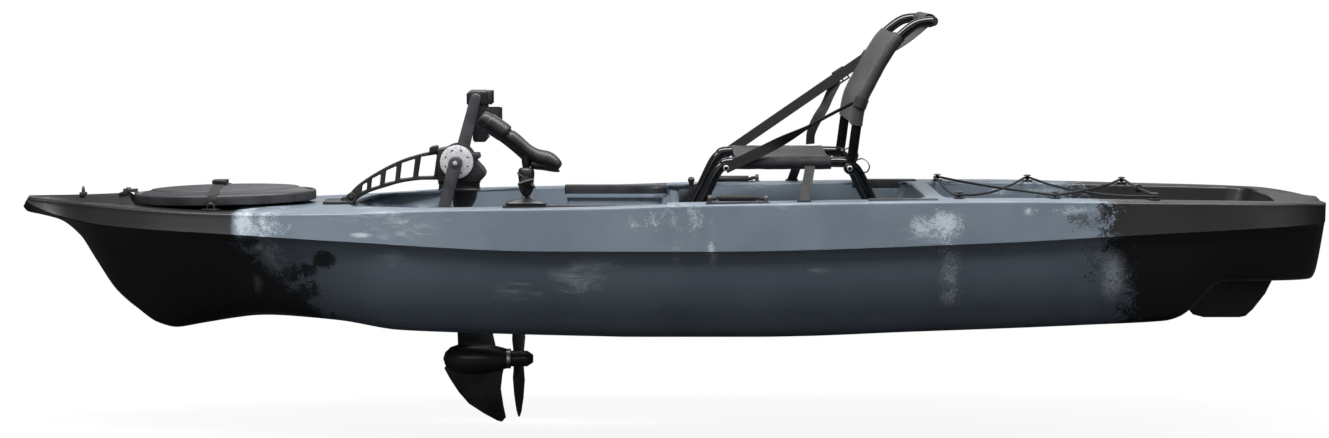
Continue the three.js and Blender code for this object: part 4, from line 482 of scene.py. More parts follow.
# %% [markdown]
# ## Slots, tunnel and holes
# Under the seat runs a lower channel, the drive swings up through a slot in the floor, and the propeller
# has a round tunnel under the boat. Boxes with bevelled corners, a turned cutter and plain round holes
# are taken out the same way. The hatch hole opens into the hollow bow, which is dark inside.

# %% More cutters
SLOT = (-545, -112, 55, 40, -60, 108)
CHANNEL = (-60, 548, 180, 50, 120, 250)
TUNNEL_Z, TUNNEL_SIDES = -87, 48
TUNNEL_ROWS = [(-640, 100), (-490, 152), (-120, 152), (300, 128), (760, 98)]
POCKET, POCKET_LOW, POCKET_ROUND = (1225, 1350, 130, 130), -20, 12
SCUPPERS, SCUPPER_RADIUS, SCUPPER_LOW = [(-400, 215, 130), (1110, 190, 230)], 13, -60
POST_X, POST_RADIUS, POST_OVERLAP = 1330, 12, 20
RAIL_INNER, RAIL_WIDTH, RAIL_MOUTH, RAIL_DEPTH = 336, 35.6, 34, 22.3
RAIL_ROWS = [(-1, -395.3, -5.7, 322.16), (1, -268.3, -5.7, 322.16), (-1, 471.7, 636.3, 336.74),
             (1, 471.7, 636.3, 336.74)]
HATCH_X, HATCH_Z, HATCH_TILT = -1099, 306, -0.022
HATCH_LONG, HATCH_WIDE, HATCH_RECESS, HATCH_INSET = 225, 165, 10, 47
HATCH_CUT, HATCH_OPEN = (-40, 40), (0, 60)
BOW_HOLD = ((-1240, -105, 140), (-930, 105, 292), 50)
PANEL, PANEL_LOW, PANEL_HIGH, PANEL_STEPS = (-262, -16), 178, 292, ((-6, 0), (6, 0), (9, 4))
OVAL_SIDES = 72


def box_cutter(name, low, high, round_by=0, corners="Z"):
    size = [(b - a) * MM for a, b in zip(low, high)]
    middle = [(a + b) / 2 * MM for a, b in zip(low, high)]
    bpy.ops.object.select_all(action="DESELECT")
    bpy.ops.mesh.primitive_cube_add(size=1, location=middle)
    piece = bpy.context.object
    piece.name = name
    piece.scale = size
    settle(piece)
    if round_by:
        axis = "XYZ".index(corners)
        bpy.ops.object.mode_set(mode="EDIT")
        bpy.ops.mesh.select_all(action="DESELECT")
        bpy.ops.object.mode_set(mode="OBJECT")
        for edge in piece.data.edges:
            first, second = (piece.data.vertices[k].co for k in edge.vertices)
            edge.select = abs((first - second)[axis]) > 0.9 * size[axis]
        bpy.ops.object.mode_set(mode="EDIT")
        bpy.ops.mesh.select_mode(type="EDGE")
        bpy.ops.mesh.bevel(offset=round_by * MM, segments=CORNER_STEPS, affect="EDGES")
        bpy.ops.object.mode_set(mode="OBJECT")
    return piece


def cylinder(name, radius, length, location, turn, sides):
    bpy.ops.mesh.primitive_cylinder_add(vertices=sides, radius=radius * MM, depth=length * MM,
                                        location=location, rotation=turn)
    piece = settle(bpy.context.object)
    piece.name = name
    return piece


def round_cutter(name, radius, place, low, high, sides=32):
    middle = [value * MM for value in (*place, (low + high) / 2)]
    return cylinder(name, radius, high - low, middle, (0, 0, 0), sides)


def hatch_oval(name, grow, low, high):
    piece = round_cutter(name, 1000, (0, 0), low, high, OVAL_SIDES)
    for vertex in piece.data.vertices:
        vertex.co.x *= (HATCH_LONG + grow) * MM
        vertex.co.y *= (HATCH_WIDE + grow) * MM
    return onto_hatch(piece)


def onto_hatch(piece):
    piece.data.transform(Matrix.Translation((HATCH_X * MM, 0, HATCH_Z * MM))
                         @ Matrix.Rotation(HATCH_TILT, 4, "Y"))
    return piece


def turned_cutter(name, rows, z, sides):
    turns = [k / sides * math.tau for k in range(sides)]
    return stack(name, [[(x, radius * math.cos(turn), z + radius * math.sin(turn)) for turn in turns]
                        for x, radius in rows])


def side_panel(name, sign, front, rear):
    cockpit = WELLS["cockpit"]
    rings = []
    for depth, inset in PANEL_STEPS:
        ring = []
        for x, z in ((front, PANEL_LOW), (rear, PANEL_LOW), (rear, PANEL_HIGH), (front, PANEL_HIGH)):
            x += inset if x == front else -inset
            z += inset if z == PANEL_LOW else -inset
            run = (z - cockpit["floor"]) / (WELL_TOP - cockpit["floor"])
            ring.append((x, sign * (mix(cockpit["low"][2], cockpit["high"][2], run) + depth), z))
        rings.append(ring)
    return stack(name, rings)


cutters = [box_cutter(name, (front, -half, low), (rear, half, high), turn)
           for name, (front, rear, half, turn, low, high) in (("slot", SLOT), ("channel", CHANNEL))]
cutters.append(turned_cutter("tunnel", TUNNEL_ROWS, TUNNEL_Z, TUNNEL_SIDES))
front, rear, half, roof = POCKET
cutters.append(box_cutter("pocket", (front, -half, POCKET_LOW), (rear, half, roof), POCKET_ROUND, "Y"))
cutters.append(round_cutter("post_hole", POST_RADIUS, (POST_X, 0), roof - POST_OVERLAP, WELL_TOP))
for x, y, top in SCUPPERS:
    cutters += [round_cutter("scupper", SCUPPER_RADIUS, (x, sign * y), SCUPPER_LOW, top) for _, sign in SIDES]
for sign, front, rear, top in RAIL_ROWS:
    ys = sorted((sign * (RAIL_INNER - RAIL_MOUTH), sign * (RAIL_INNER + RAIL_WIDTH)))
    cutters.append(box_cutter("rail_pocket", (front, ys[0], top - RAIL_DEPTH),
                              (rear, ys[1], top + RAIL_DEPTH)))
cutters.append(hatch_oval("hatch_recess", HATCH_RECESS, *HATCH_OPEN))
cutters.append(hatch_oval("hatch_hole", -HATCH_INSET, *HATCH_CUT))
cutters.append(box_cutter("bow_hold", *BOW_HOLD, "X"))
cutters += [side_panel("panel", sign, *PANEL) for _, sign in SIDES]
carve(hull, *cutters)
print("hull carved", len(hull.data.polygons), "faces")

# %% [markdown]
# ## Marbled polyethylene
# The hull is rotomoulded from powder, and the moulder throws black and pale powder onto the mould before
# the grey. So the ends are black, the edges of the black break up like frost, and pale grains lie in
# clouds. Each cloud is a soft ellipse in side view, broken up by noise at the size of the powder, about
# 2 mm, drawn a little coarser than real so that it shows. Three pale ellipses are painted light, not
# powder: a painted highlight above the knuckle, one along the gunwale rim, and a painted reflection
# near the keel. The skin has a faint orange peel.

# %% Mottled grey, black and pale powder, with painted highlights and a painted reflection
GREY, GREY_DEEP, BLACK, PALE_POWDER_AND_HIGHLIGHT = "#626d77", "#58636e", "#0d0d0f", "#b4bdc4"
GRAIN_SCALE, FROST_SCALE, CLOUD_SCALE, PEEL_SCALE = 260, 26, 4.2, 240
WISP_STRETCH, WISP_LEAN = (9, 9, 34), 0.25
FRAYED_MIDDLE, WISP_MIDDLE = 0.725, 0.5
BLACK_DEPTH, WISP_DEPTH, POWDER_DEPTH = 2.6, 2.2, 2.4


def calc(tree, operation, first, second=0.0, third=0.0):
    return add(tree, "Math", {"operation": operation}, _0=first, _1=second, _2=third).outputs[0]


def times(tree, first, second):
    return calc(tree, "MULTIPLY", first, second)


def step_between(tree, value, low, high, start=0.0, end=1.0):
    return add(tree, "MapRange", {"interpolation_type": "SMOOTHSTEP"},
               _0=value, _1=low, _2=high, _3=start, _4=end).outputs[0]


def tones(tree, share, first, second):
    return add(tree, "Mix", {"data_type": "RGBA"}, _0=share, _6=first, _7=second).outputs[2]


def noise_of(tree, place, scale, detail, rough=0.5, bent=0.0):
    return add(tree, "TexNoise", Vector=place, Scale=scale, Detail=detail, Roughness=rough,
               Distortion=bent).outputs[0]


def bump_of(tree, strength, depth, height):
    return add(tree, "Bump", Strength=strength, Distance=depth, Height=height).outputs[0]


def new_material(name):
    material = bpy.data.materials.new(name)
    material.use_nodes = True
    tree = material.node_tree
    return material, tree, tree.nodes["Principled BSDF"]


def object_place(tree):
    return add(tree, "TexCoord").outputs["Object"]


def wire(tree, skin, tone, rough, normal):
    for name, value in (("Base Color", tone), ("Roughness", rough), ("Normal", normal)):
        tree.links.new(value, skin.inputs[name])


def powder_and_highlight_patch(tree, place, middle, reach):
    turned = add(tree, "VectorMath", {"operation": "MULTIPLY_ADD"}, _0=place,
                 _1=(1 / reach[0], 0, 1 / reach[1]), _2=(-middle[0] / reach[0], 0, -middle[1] / reach[1]))
    far = add(tree, "VectorMath", {"operation": "LENGTH"}, _0=turned.outputs[0])
    return step_between(tree, far.outputs["Value"], 0, 1, 1, 0)


marbled, tree, skin = new_material("rotomoulded_polyethylene")
place = object_place(tree)
axes = add(tree, "SeparateXYZ", _0=place)
along, up = axes.outputs["X"], axes.outputs["Z"]
frost = noise_of(tree, place, FROST_SCALE, 8, 0.74, 0.9)
grain = noise_of(tree, place, GRAIN_SCALE, 2, 0.6)
cloud = noise_of(tree, place, CLOUD_SCALE, 5, 0.6)
laid = add(tree, "Mapping", Vector=place, Scale=WISP_STRETCH, Rotation=(0, WISP_LEAN, 0)).outputs[0]
wisp = noise_of(tree, laid, 1, 7, 0.7, 0.6)
frayed = calc(tree, "MULTIPLY_ADD", grain, 0.55, times(tree, frost, 0.9))

# Black powder over both ends: below the knuckle the edge leans aft, and it is frayed in short streaks
band = step_between(tree, up, 0.222, 0.24)
loose = calc(tree, "SUBTRACT", frayed, FRAYED_MIDDLE)
bow_edge = calc(tree, "MAXIMUM", calc(tree, "MULTIPLY_ADD", up, -1.09, -0.776),
                step_between(tree, up, 0.225, 0.245, -1.028, -1.046))
bow_field = calc(tree, "MULTIPLY_ADD", loose, step_between(tree, band, 0, 1, 0.26, 0.04),
                 calc(tree, "SUBTRACT", bow_edge, along))
bow_black = step_between(tree, bow_field, -0.006, 0.01)
stern_edge = step_between(tree, up, 0.1, 0.3, 1.075, 1.03)
stern_field = calc(tree, "MULTIPLY_ADD", loose, 0.34, calc(tree, "SUBTRACT", along, stern_edge))
stern_black = step_between(tree, stern_field, -0.006, 0.012)
black = calc(tree, "MAXIMUM", bow_black, stern_black)
BLACK_PATCHES = [((-0.828, 0.186), (0.05, 0.036), 0.9), ((-0.862, 0.162), (0.05, 0.034), 0.72),
                 ((-0.905, 0.15), (0.055, 0.05), 0.6), ((-0.88, 0.105), (0.07, 0.06), 0.62),
                 ((-1.01, 0.225), (0.045, 0.03), 0.8), ((-0.945, 0.31), (0.03, 0.008), 0.9),
                 ((0.985, 0.285), (0.075, 0.05), 0.5), ((1.0, 0.19), (0.05, 0.1), 0.42)]


# Field of one patch, for powder and also for the painted highlights and reflection among pale patches
def powder(patch, weight, rough, depth):
    held = calc(tree, "MINIMUM", times(tree, patch, 3 * depth), depth)
    return calc(tree, "MULTIPLY_ADD", patch, weight, times(tree, rough, held))


for middle, reach, weight in BLACK_PATCHES:
    field = powder(powder_and_highlight_patch(tree, place, middle, reach), weight, loose, BLACK_DEPTH)
    black = calc(tree, "MAXIMUM", black, step_between(tree, field, 0.3, 0.5, 0, 0.92))

# Pale powder: middle, reach and weight of each cloud, and whether it is wispy rather than grainy.
# Three entries are painted light, not powder: a painted highlight above the knuckle, a painted
# reflection near the keel and a painted highlight along the gunwale rim
PALE_POWDER_AND_HIGHLIGHT_PATCHES = [((-1.02, 0.275), (0.05, 0.075), 1.0, 0), ((-0.965, 0.275), (0.1, 0.07), 0.66, 0),
                # The second cloud on the next line is a painted highlight just above the knuckle, not powder
                ((-0.70, 0.30), (0.22, 0.05), 0.4, 1), ((-0.733, 0.25), (0.045, 0.011), 1.0, 1),
                ((-0.62, 0.27), (0.2, 0.05), 0.36, 1), ((-0.985, 0.215), (0.03, 0.02), 0.8, 0),
                ((-0.21, 0.15), (0.13, 0.085), 0.6, 1), ((-0.17, 0.185), (0.12, 0.035), 0.66, 1),
                ((-0.36, 0.11), (0.12, 0.07), 0.36, 1), ((0.06, 0.29), (0.035, 0.07), 0.55, 0),
                ((0.10, 0.23), (0.022, 0.11), 0.55, 0), ((0.02, 0.2), (0.03, 0.08), 0.36, 0),
                ((-0.02, 0.285), (0.12, 0.05), 0.4, 0), ((0.648, 0.28), (0.075, 0.062), 0.95, 0),
                ((0.60, 0.275), (0.06, 0.05), 0.6, 0), ((0.665, 0.16), (0.05, 0.17), 0.72, 0),
                ((0.62, 0.27), (0.13, 0.08), 0.36, 1), ((0.85, 0.31), (0.05, 0.02), 0.6, 0),
                ((0.96, 0.31), (0.11, 0.02), 0.6, 0), ((0.985, 0.28), (0.07, 0.06), 0.42, 0),
                ((1.055, 0.15), (0.055, 0.11), 0.9, 0), ((1.0, 0.2), (0.05, 0.1), 0.5, 0),
                ((-0.65, 0.2), (0.07, 0.05), 0.5, 1), ((-0.95, 0.19), (0.07, 0.08), 0.62, 0),
                ((-1.0, 0.12), (0.04, 0.06), 0.6, 0), ((0.34, 0.17), (0.1, 0.018), 0.5, 1),
                # Painted reflection: a thin pale streak near the keel, not powder
                ((-0.2, 0.045), (0.12, 0.014), 0.45, 1),
                # Painted highlight: a long thin pale line along the gunwale rim, not powder
                ((0.1, 0.325), (0.5, 0.02), 0.26, 1)]
pale_and_highlight = None
for middle, reach, weight, wispy in PALE_POWDER_AND_HIGHLIGHT_PATCHES:
    broken = calc(tree, "SUBTRACT", wisp if wispy else frayed, WISP_MIDDLE if wispy else FRAYED_MIDDLE)
    field = powder(powder_and_highlight_patch(tree, place, middle, reach), weight, broken,
                   WISP_DEPTH if wispy else POWDER_DEPTH)
    field = step_between(tree, field, 0.26, 1.0, 0, 0.72)
    pale_and_highlight = field if pale_and_highlight is None else calc(tree, "MAXIMUM", pale_and_highlight, field)

tone = tones(tree, step_between(tree, cloud, 0.35, 0.65), colour(GREY), colour(GREY_DEEP))
# Pale powder with the painted highlights and reflection, then black powder with pale flecks
tone = tones(tree, pale_and_highlight, tone, colour(PALE_POWDER_AND_HIGHLIGHT))
tone = tones(tree, black, tone, tones(tree, times(tree, pale_and_highlight, 0.35), colour(BLACK), colour(PALE_POWDER_AND_HIGHLIGHT)))
bump = bump_of(tree, 0.12, 0.0008, noise_of(tree, place, PEEL_SCALE, 2))
wire(tree, skin, tone, step_between(tree, cloud, 0.3, 0.7, 0.36, 0.46), bump)
skin.inputs["IOR"].default_value = 1.5
hull.data.materials.clear()
hull.data.materials.append(marbled)
with edit_mode(hull):
    bpy.ops.mesh.vert_connect_concave()
    bpy.ops.mesh.normals_make_consistent(inside=False)
bpy.ops.object.shade_smooth_by_angle(angle=math.radians(30))
modify(hull, "WEIGHTED_NORMAL", keep_sharp=True)
edge_count = {}
for face in hull.data.polygons:
    for key in face.edge_keys:
        edge_count[key] = edge_count.get(key, 0) + 1
print("hull ready", len(hull.data.polygons), "faces, edges not between two faces:",
      sum(count != 2 for count in edge_count.values()))

# %% [markdown]
# ## Finishes of the fittings
# The fittings are injection moulded in black glass-filled nylon, and the mould is spark-eroded, so their
# skin is matt with a fine grain and slightly shiny where hands and straps rub the edges. The hatch is
# moulded in softer, greyer plastic. The tubes are aluminium under black powder paint, the hub discs are
# turned aluminium and the pins are stainless steel. One function mixes them all: two close tones in a
# broad noise, a fine grain for bump, a roughness that drifts, and a lighter line on worn edges.

# %% Moulded and metal finishes
BROAD_SCALE, GRAIN_DEPTH, WORN_TONE = 22, 0.12 * MM, "#6d6f73"
NYLON_IOR = 1.53


def finish_of(name, dark, light, roughness, grain, bump=0.35, metallic=0.0, stretch=(1, 1, 1), worn=0.0):
    material, tree, skin = new_material(name)
    place = object_place(tree)
    laid = add(tree, "Mapping", Vector=place, Scale=stretch).outputs[0]
    broad = noise_of(tree, place, BROAD_SCALE, 4, 0.6)
    fine = noise_of(tree, laid, grain, 2, 0.6)
    tone = tones(tree, step_between(tree, broad, 0.38, 0.62), colour(dark), colour(light))
    if worn:
        edge = step_between(tree, add(tree, "NewGeometry").outputs["Pointiness"], 0.53, 0.62, 0, worn)
        rubbed = times(tree, edge, step_between(tree, broad, 0.3, 0.55))
        tone = tones(tree, rubbed, tone, colour(WORN_TONE))
    drift = calc(tree, "MULTIPLY_ADD", fine, 0.4, times(tree, broad, 0.6))
    wire(tree, skin, tone, step_between(tree, drift, 0.3, 0.7, *roughness),
         bump_of(tree, bump, GRAIN_DEPTH, fine))
    skin.inputs["Metallic"].default_value = metallic
    if not metallic:
        skin.inputs["IOR"].default_value = NYLON_IOR
    return material


# Spark-eroded nylon grain is about 0.3 mm and is drawn at 1 mm
nylon = finish_of("spark_eroded_black_nylon", "#0b0b0c", "#131315", (0.34, 0.5), 950, worn=0.25)
# The arm's fibre-filled nylon is a little paler, from fibre at the surface
fibre_nylon = finish_of("glass_filled_nylon", "#101011", "#19191b", (0.38, 0.56), 700, worn=0.2)
hatch_skin = finish_of("moulded_hatch_plastic", "#262629", "#303034", (0.42, 0.6), 600, 0.5)
# The lower unit is polished in the mould, so that weed slides off it. Its tones, also used on the propeller
# and rudder, are several times lighter than the black nylon: painted light for the parts under the hull,
# which the lamps hardly reach
pod_nylon_painted_light = finish_of("polished_nylon_painted_light", "#323235", "#3d3d40", (0.26, 0.38), 500, 0.12)
# Anodising keeps the sheen of the metal under a dark skin
crank_metal = finish_of("dark_anodised_aluminium", "#3e3e41", "#4d4d51", (0.32, 0.45), 420, 0.15, 0.35)
# Powder paint flows into a faint orange peel of about 2 mm
painted_tube = finish_of("powder_painted_aluminium_tube", "#08080a", "#0f0f11", (0.09, 0.17), 480, 0.15,
                         worn=0.2)
turned_metal = finish_of("turned_aluminium", "#d2d2d4", "#e6e6e8", (0.26, 0.42), 260, metallic=1.0,
                         stretch=(1, 8, 1))
# Ground bar has fine scratches along it
ground_steel = finish_of("ground_stainless_steel", "#b9bbbd", "#d3d5d7", (0.2, 0.36), 500, metallic=0.55,
                         stretch=(1, 1, 6))
soft_rubber = finish_of("moulded_rubber", "#0d0d0e", "#161617", (0.62, 0.8), 800, 0.5)
print("finishes", [m.name for m in bpy.data.materials])

# %% [markdown]
# ## Rounding the fittings
# No moulded edge is sharp: a mould is cut with round tools, and the part must let go of it. Each fitting
# is a copy of the fitted part. Its loose triangles are merged and its flat faces joined, then a bevel
# modifier rounds every edge that turns more than 32 degrees. Rounding a copy keeps the size and place.

# %% Round and finish the fittings
EDGE_LIMIT, SMOOTH_LIMIT, FLAT_LIMIT = math.radians(32), math.radians(38), math.radians(0.6)
SAME_PLACE = 0.01 * MM


def copy_of(node, suffix="_rounded"):
    source = frame["nodes"][node]
    piece = source.copy()
    piece.data = source.data.copy()
    bpy.context.collection.objects.link(piece)
    for key in list(piece.keys()):
        del piece[key]
    piece.parent = None
    piece.matrix_world = Matrix.Identity(4)
    piece.name = node + suffix
    with edit_mode(piece):
        bpy.ops.mesh.remove_doubles(threshold=SAME_PLACE)
        bpy.ops.mesh.dissolve_limited(angle_limit=FLAT_LIMIT)
    return piece


def finished(piece, material, body, slot, *nodes):
    piece.data.materials.clear()
    piece.data.materials.append(material)
    pick(piece)
    bpy.ops.object.shade_smooth_by_angle(angle=SMOOTH_LIMIT)
    if body:
        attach(piece, body)
    if nodes:
        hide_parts(*nodes)
    return piece


def eased(piece, width, segments=2, **settings):
    return modify(piece, "BEVEL", width=width * MM, segments=segments, limit_method="ANGLE",
                  angle_limit=EDGE_LIMIT, **settings)


def on_both_sides(*names):
    return [f"{name}_{side}" for side, _ in SIDES for name in names]


ROUNDED = [
    (nylon, "black_plastic", 1.2, ["bow_hatch_hinge", "bow_hatch_buckle", "bow_pad_eye", "drive_bracket",
                                   "steering_base", "steering_lever", "lashing_toggle",
                                   *on_both_sides("carry_handle_base"), *on_both_sides("hatch_strap_eye")]),
    (nylon, "black_plastic", 0.8,
     [*on_both_sides("accessory_rail_front"), *on_both_sides("accessory_rail_rear"),
                                   *on_both_sides("lashing_post_1", "lashing_post_2", "lashing_post_3")]),
    (pod_nylon_painted_light, "black_plastic", 1.6, ["lower_unit", "propeller", "rudder"]),
    (soft_rubber, "cord_rubber", 1.5, on_both_sides("carry_handle")),
    (hatch_skin, "hatch_plastic", 1.5, ["bow_hatch_coaming"]),
    (turned_metal, "disc_metal", 0.6, ["prop_ring"]),
    (ground_steel, "steel", 0.5, ["crank_axle", "drive_shaft", "prop_shaft"]),
]
fitted = {}
for material, slot, width, nodes in ROUNDED:
    for node in nodes:
        piece = eased(copy_of(node), width, use_clamp_overlap=True)
        fitted[node] = finished(piece, material, frame["nodes"][node]["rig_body"], slot, node)
print("rounded", len(fitted), "fittings,", sum(len(p.data.polygons) for p in fitted.values()), "faces")

# %% [markdown]
# ## Cloth and webbing
# The seat is coated polyester canvas, the back a coarser open mesh, and the straps are woven
# polypropylene. Cloth needs a pattern that follows it round the tubes, so each sheet starts as a grid,
# which brings its own UV map, and the material reads that map in millimetres. Canvas threads are about
# 0.5 mm and are drawn at 2 mm. Webbing has ribs across it at 1.6 mm, drawn at 2.4 mm.

# %% Woven finishes
FUZZ_DEPTH, WEAVE_BUMP, WEAVE_DEPTH, STITCH_PITCH = 0.5, 0.6, 0.5 * MM, 7


def woven(name, dark, light, size, thread, ribs=False, stitches=(), thread_tone="#5f6064"):
    material, tree, skin = new_material(name)
    chart = add(tree, "UVMap").outputs[0]
    laid = add(tree, "Mapping", Vector=chart, Scale=(size[0], size[1], 1)).outputs[0]
    axes = add(tree, "SeparateXYZ", _0=laid)
    run, across = axes.outputs["X"], axes.outputs["Y"]
    warp, weft = (calc(tree, "ABSOLUTE", calc(tree, "SINE", times(tree, way, math.pi / thread)))
                  for way in (run, across))
    if ribs:
        relief = calc(tree, "MULTIPLY_ADD", weft, 0.3, times(tree, warp, 0.8))
    else:
        check = add(tree, "TexChecker", Vector=laid, Scale=1 / thread).outputs["Fac"]
        relief = add(tree, "Mix", {"data_type": "FLOAT"}, _0=check, _2=warp, _3=weft).outputs[0]
    fade = noise_of(tree, laid, 0.05, 5, 0.65)
    depth = calc(tree, "MULTIPLY_ADD", noise_of(tree, laid, 0.7, 2), FUZZ_DEPTH, times(tree, relief, 0.6))
    share = times(tree, depth, step_between(tree, fade, 0.25, 0.75, 0.6, 1.0))
    tone = tones(tree, share, colour(dark), colour(light))
    for place in stitches:
        off = calc(tree, "ABSOLUTE", calc(tree, "SUBTRACT", across, place))
        line = step_between(tree, off, 0.5, 1.3, 1, 0)
        dash = step_between(tree, calc(tree, "SINE", times(tree, run, math.tau / STITCH_PITCH)), -0.35, 0.1)
        tone = tones(tree, times(tree, line, dash), tone, colour(thread_tone))
    wire(tree, skin, tone, step_between(tree, fade, 0.3, 0.7, 0.6, 0.82),
         bump_of(tree, WEAVE_BUMP, WEAVE_DEPTH, relief))
    skin.inputs["Sheen Weight"].default_value = 0.06
    skin.inputs["Sheen Roughness"].default_value = 0.5
    return material


# %% [markdown]
# ## One sheet, bent from a grid
# A strap or a sling is a flat rectangle of cloth before it is sewn. So every one starts as a grid with
# the cut's proportions; each corner is carried to its place on the seat, and a solidify modifier
# gives the cloth its thickness.

# %% Bend a flat sheet onto a route
def cloth_grid(name, steps, place, thick, smooth=0):
    bpy.ops.mesh.primitive_grid_add(x_subdivisions=steps[0], y_subdivisions=steps[1], size=1)
    sheet = bpy.context.object
    sheet.name = name
    for vertex in sheet.data.vertices:
        vertex.co = Vector(place(vertex.co.x + 0.5, vertex.co.y + 0.5)) * MM
    if smooth:
        modify(sheet, "SUBSURF", levels=smooth, render_levels=smooth)
    flat_area = sum(face.area for face in sheet.data.polygons)
    modify(sheet, "SOLIDIFY", thickness=thick * MM, offset=0, use_even_offset=True)
    return sheet, flat_area


def route_point(route, share):
    lengths = [(Vector(b) - Vector(a)).length for a, b in zip(route, route[1:])]
    left = share * sum(lengths)
    for k, length in enumerate(lengths):
        if left <= length or k == len(lengths) - 1:
            return Vector(route[k]).lerp(Vector(route[k + 1]), left / length), k
        left -= length


def smooth_route(route, steps=6):
    points = []
    for k in range(len(route) - 1):
        a, b, c, d = (Vector(route[min(max(k + step, 0), len(route) - 1)]) for step in (-1, 0, 1, 2))
        for step in range(steps):
            t = step / steps
            points.append(0.5 * (2 * b + (c - a) * t + (2 * a - 5 * b + 4 * c - d) * t ** 2
                                 + (3 * b - a - 3 * c + d) * t ** 3))
    return [*points, Vector(route[-1])]


def flat_on(share):
    return math.pi / 2


def strap(name, route, width, thick, twist=flat_on, axis=(0, 1, 0), steps=60):
    points = smooth_route(route)

    def place(share, wide):
        centre, k = route_point(points, share)
        run = (points[k + 1] - points[k]).normalized()
        side = Matrix.Rotation(twist(share), 3, run) @ run.cross(Vector(axis)).normalized()
        return centre + side * (wide - 0.5) * width

    band, area = cloth_grid(name, (steps, 4), place, thick)
    for corner in band.data.uv_layers.active.data:
        corner.uv.x *= area / (width * MM)
    return band, area


# %% [markdown]
# ## Seat sling
# The sling is one sheet of canvas. It wraps both side tubes, where it is sewn back to itself in a
# sleeve, and spans them with a slight sag. Canvas under tension gathers at the sleeves in short folds.
# Simulation would find the same shape, but the sheet is stretched and its shape is known, so it is bent
# directly.

# %% Seat sling on its two rails
SEAT_HALF, RAIL_Z, PAN_FRONT, PAN_REAR = 230, 416, 160, 389
SLEEVE_RADIUS, SLEEVE_DROP, PAN_SAG, CANVAS = 14.4, 2.2, 9, 1.2
FOLD_PITCH, FOLD_HIGH, FOLD_FADE, SLEEVE_FOLD, END_REACH, END_RISE = 6.5, 0.55, 5, 0.35, 7, 1.2
PAN_START = math.radians(-200)
sleeve_run = SLEEVE_RADIUS * (math.radians(90) - PAN_START)
pan_run = 2 * (sleeve_run + SEAT_HALF)


def pan_place(share, wide):
    x = mix(PAN_FRONT, PAN_REAR, share)
    sign = -1 if wide < 0.5 else 1
    run = min(wide, 1 - wide) * pan_run
    if run < sleeve_run:
        turn = PAN_START + run / SLEEVE_RADIUS
        y = SEAT_HALF + SLEEVE_RADIUS * math.cos(turn)
        z = RAIL_Z + SLEEVE_RADIUS * math.sin(turn) - (SLEEVE_DROP if math.sin(turn) < -0.3 else 0)
        near = SLEEVE_FOLD
    else:
        y = SEAT_HALF - (run - sleeve_run)
        inward = 1 - y / SEAT_HALF
        z = RAIL_Z + SLEEVE_RADIUS - PAN_SAG * math.sin(inward * math.pi / 2) ** 0.8
        near = math.exp(-inward * FOLD_FADE)
    fold = near * (math.sin(x / FOLD_PITCH + 2 * noise.noise((x * 0.02, y * 0.01, 3))) * FOLD_HIGH)
    soft = noise.noise((x * 0.018, y * 0.012, 1)) * 1.3
    ends = END_RISE * (math.exp(-(x - PAN_FRONT) / END_REACH) + math.exp(-(PAN_REAR - x) / END_REACH))
    return x, sign * y, z + fold + soft * (1 - near) + ends * 0.4


def seams(run, whole, *insets):
    return [place for inset in insets for place in (run + inset, whole - run - inset)]


canvas = woven("coated_polyester_canvas", "#111113", "#212124", (PAN_REAR - PAN_FRONT, pan_run), 2.0,
               stitches=seams(sleeve_run, pan_run, 12, 17))
pan, area = cloth_grid("seat_sling", (46, 120), pan_place, CANVAS, smooth=1)
finished(pan, canvas, "kayak", "seat_fabric", "seat_pan")
print("sling cut", round(PAN_REAR - PAN_FRONT), "by", round(pan_run), "mm, area", round(area, 4))

# %% [markdown]
# ## Seat back
# The back is a coarser, greyer mesh. It wraps the two back tubes from just above the seat to below the
# hand loop, and it sags backwards between them where a back rests. The tubes bend back as they rise, so
# each row of the sheet is set square to the tube there.

# %% Back sling on its two tubes
SEAT_REAR, BOLT_Z, BACK_HALF, BACK_SAG, BACK_SLEEVE = 432, 403, 257, 16, 14.2
BACK_TUBES = [(0, 0), (6, 25), (15, 92), (26, 157), (53, 212), (78, 259), (113, 309), (158, 345), (198, 352)]
BACK_LOW, BACK_HIGH = 13, 38
BACK_START = math.radians(-165)
back_run = BACK_SLEEVE * (math.radians(90) - BACK_START)
back_wide = 2 * (back_run + BACK_HALF)
tube_line = smooth_route([(SEAT_REAR + reach, 0, BOLT_Z + rise) for reach, rise in BACK_TUBES])
back_line = tube_line[BACK_LOW:BACK_HIGH]
back_long = sum((b - a).length for a, b in zip(back_line, back_line[1:]))


def back_place(share, wide):
    centre, k = route_point(back_line, share)
    run = (back_line[k + 1] - back_line[k]).normalized()
    front = Vector((-run.z, 0, run.x))
    sign = -1 if wide < 0.5 else 1
    along = min(wide, 1 - wide) * back_wide
    if along < back_run:
        turn = BACK_START + along / BACK_SLEEVE
        y, ahead, near = BACK_HALF + BACK_SLEEVE * math.cos(turn), BACK_SLEEVE * math.sin(turn), 0.4
    else:
        y = BACK_HALF - (along - back_run)
        inward = 1 - y / BACK_HALF
        middle = math.sin(share * math.pi) * 0.6 + 0.4
        ahead = BACK_SLEEVE - BACK_SAG * middle * math.sin(inward * math.pi / 2)
        near = math.exp(-inward * FOLD_FADE)
    fold = near * math.sin(share * back_long / 8 + 2 * noise.noise((share * 4, y * 0.01, 5))) * 0.5
    soft = noise.noise((share * 5, y * 0.012, 9)) * 1.6 * (1 - near)
    return centre + front * (ahead + fold + soft) + Vector((0, sign * y, 0))


mesh_cloth = woven("open_polyester_mesh", "#1b1b1d", "#363639", (back_long, back_wide), 3.0,
                   stitches=seams(back_run, back_wide, 14, 19, -8), thread_tone="#77787c")
back, area = cloth_grid("back_sling", (50, 124), back_place, CANVAS, smooth=1)
finished(back, mesh_cloth, "seat_back", "back_fabric", "seat_back_panel")
print("back cut", round(back_long), "by", round(back_wide), "mm, area", round(area, 4))

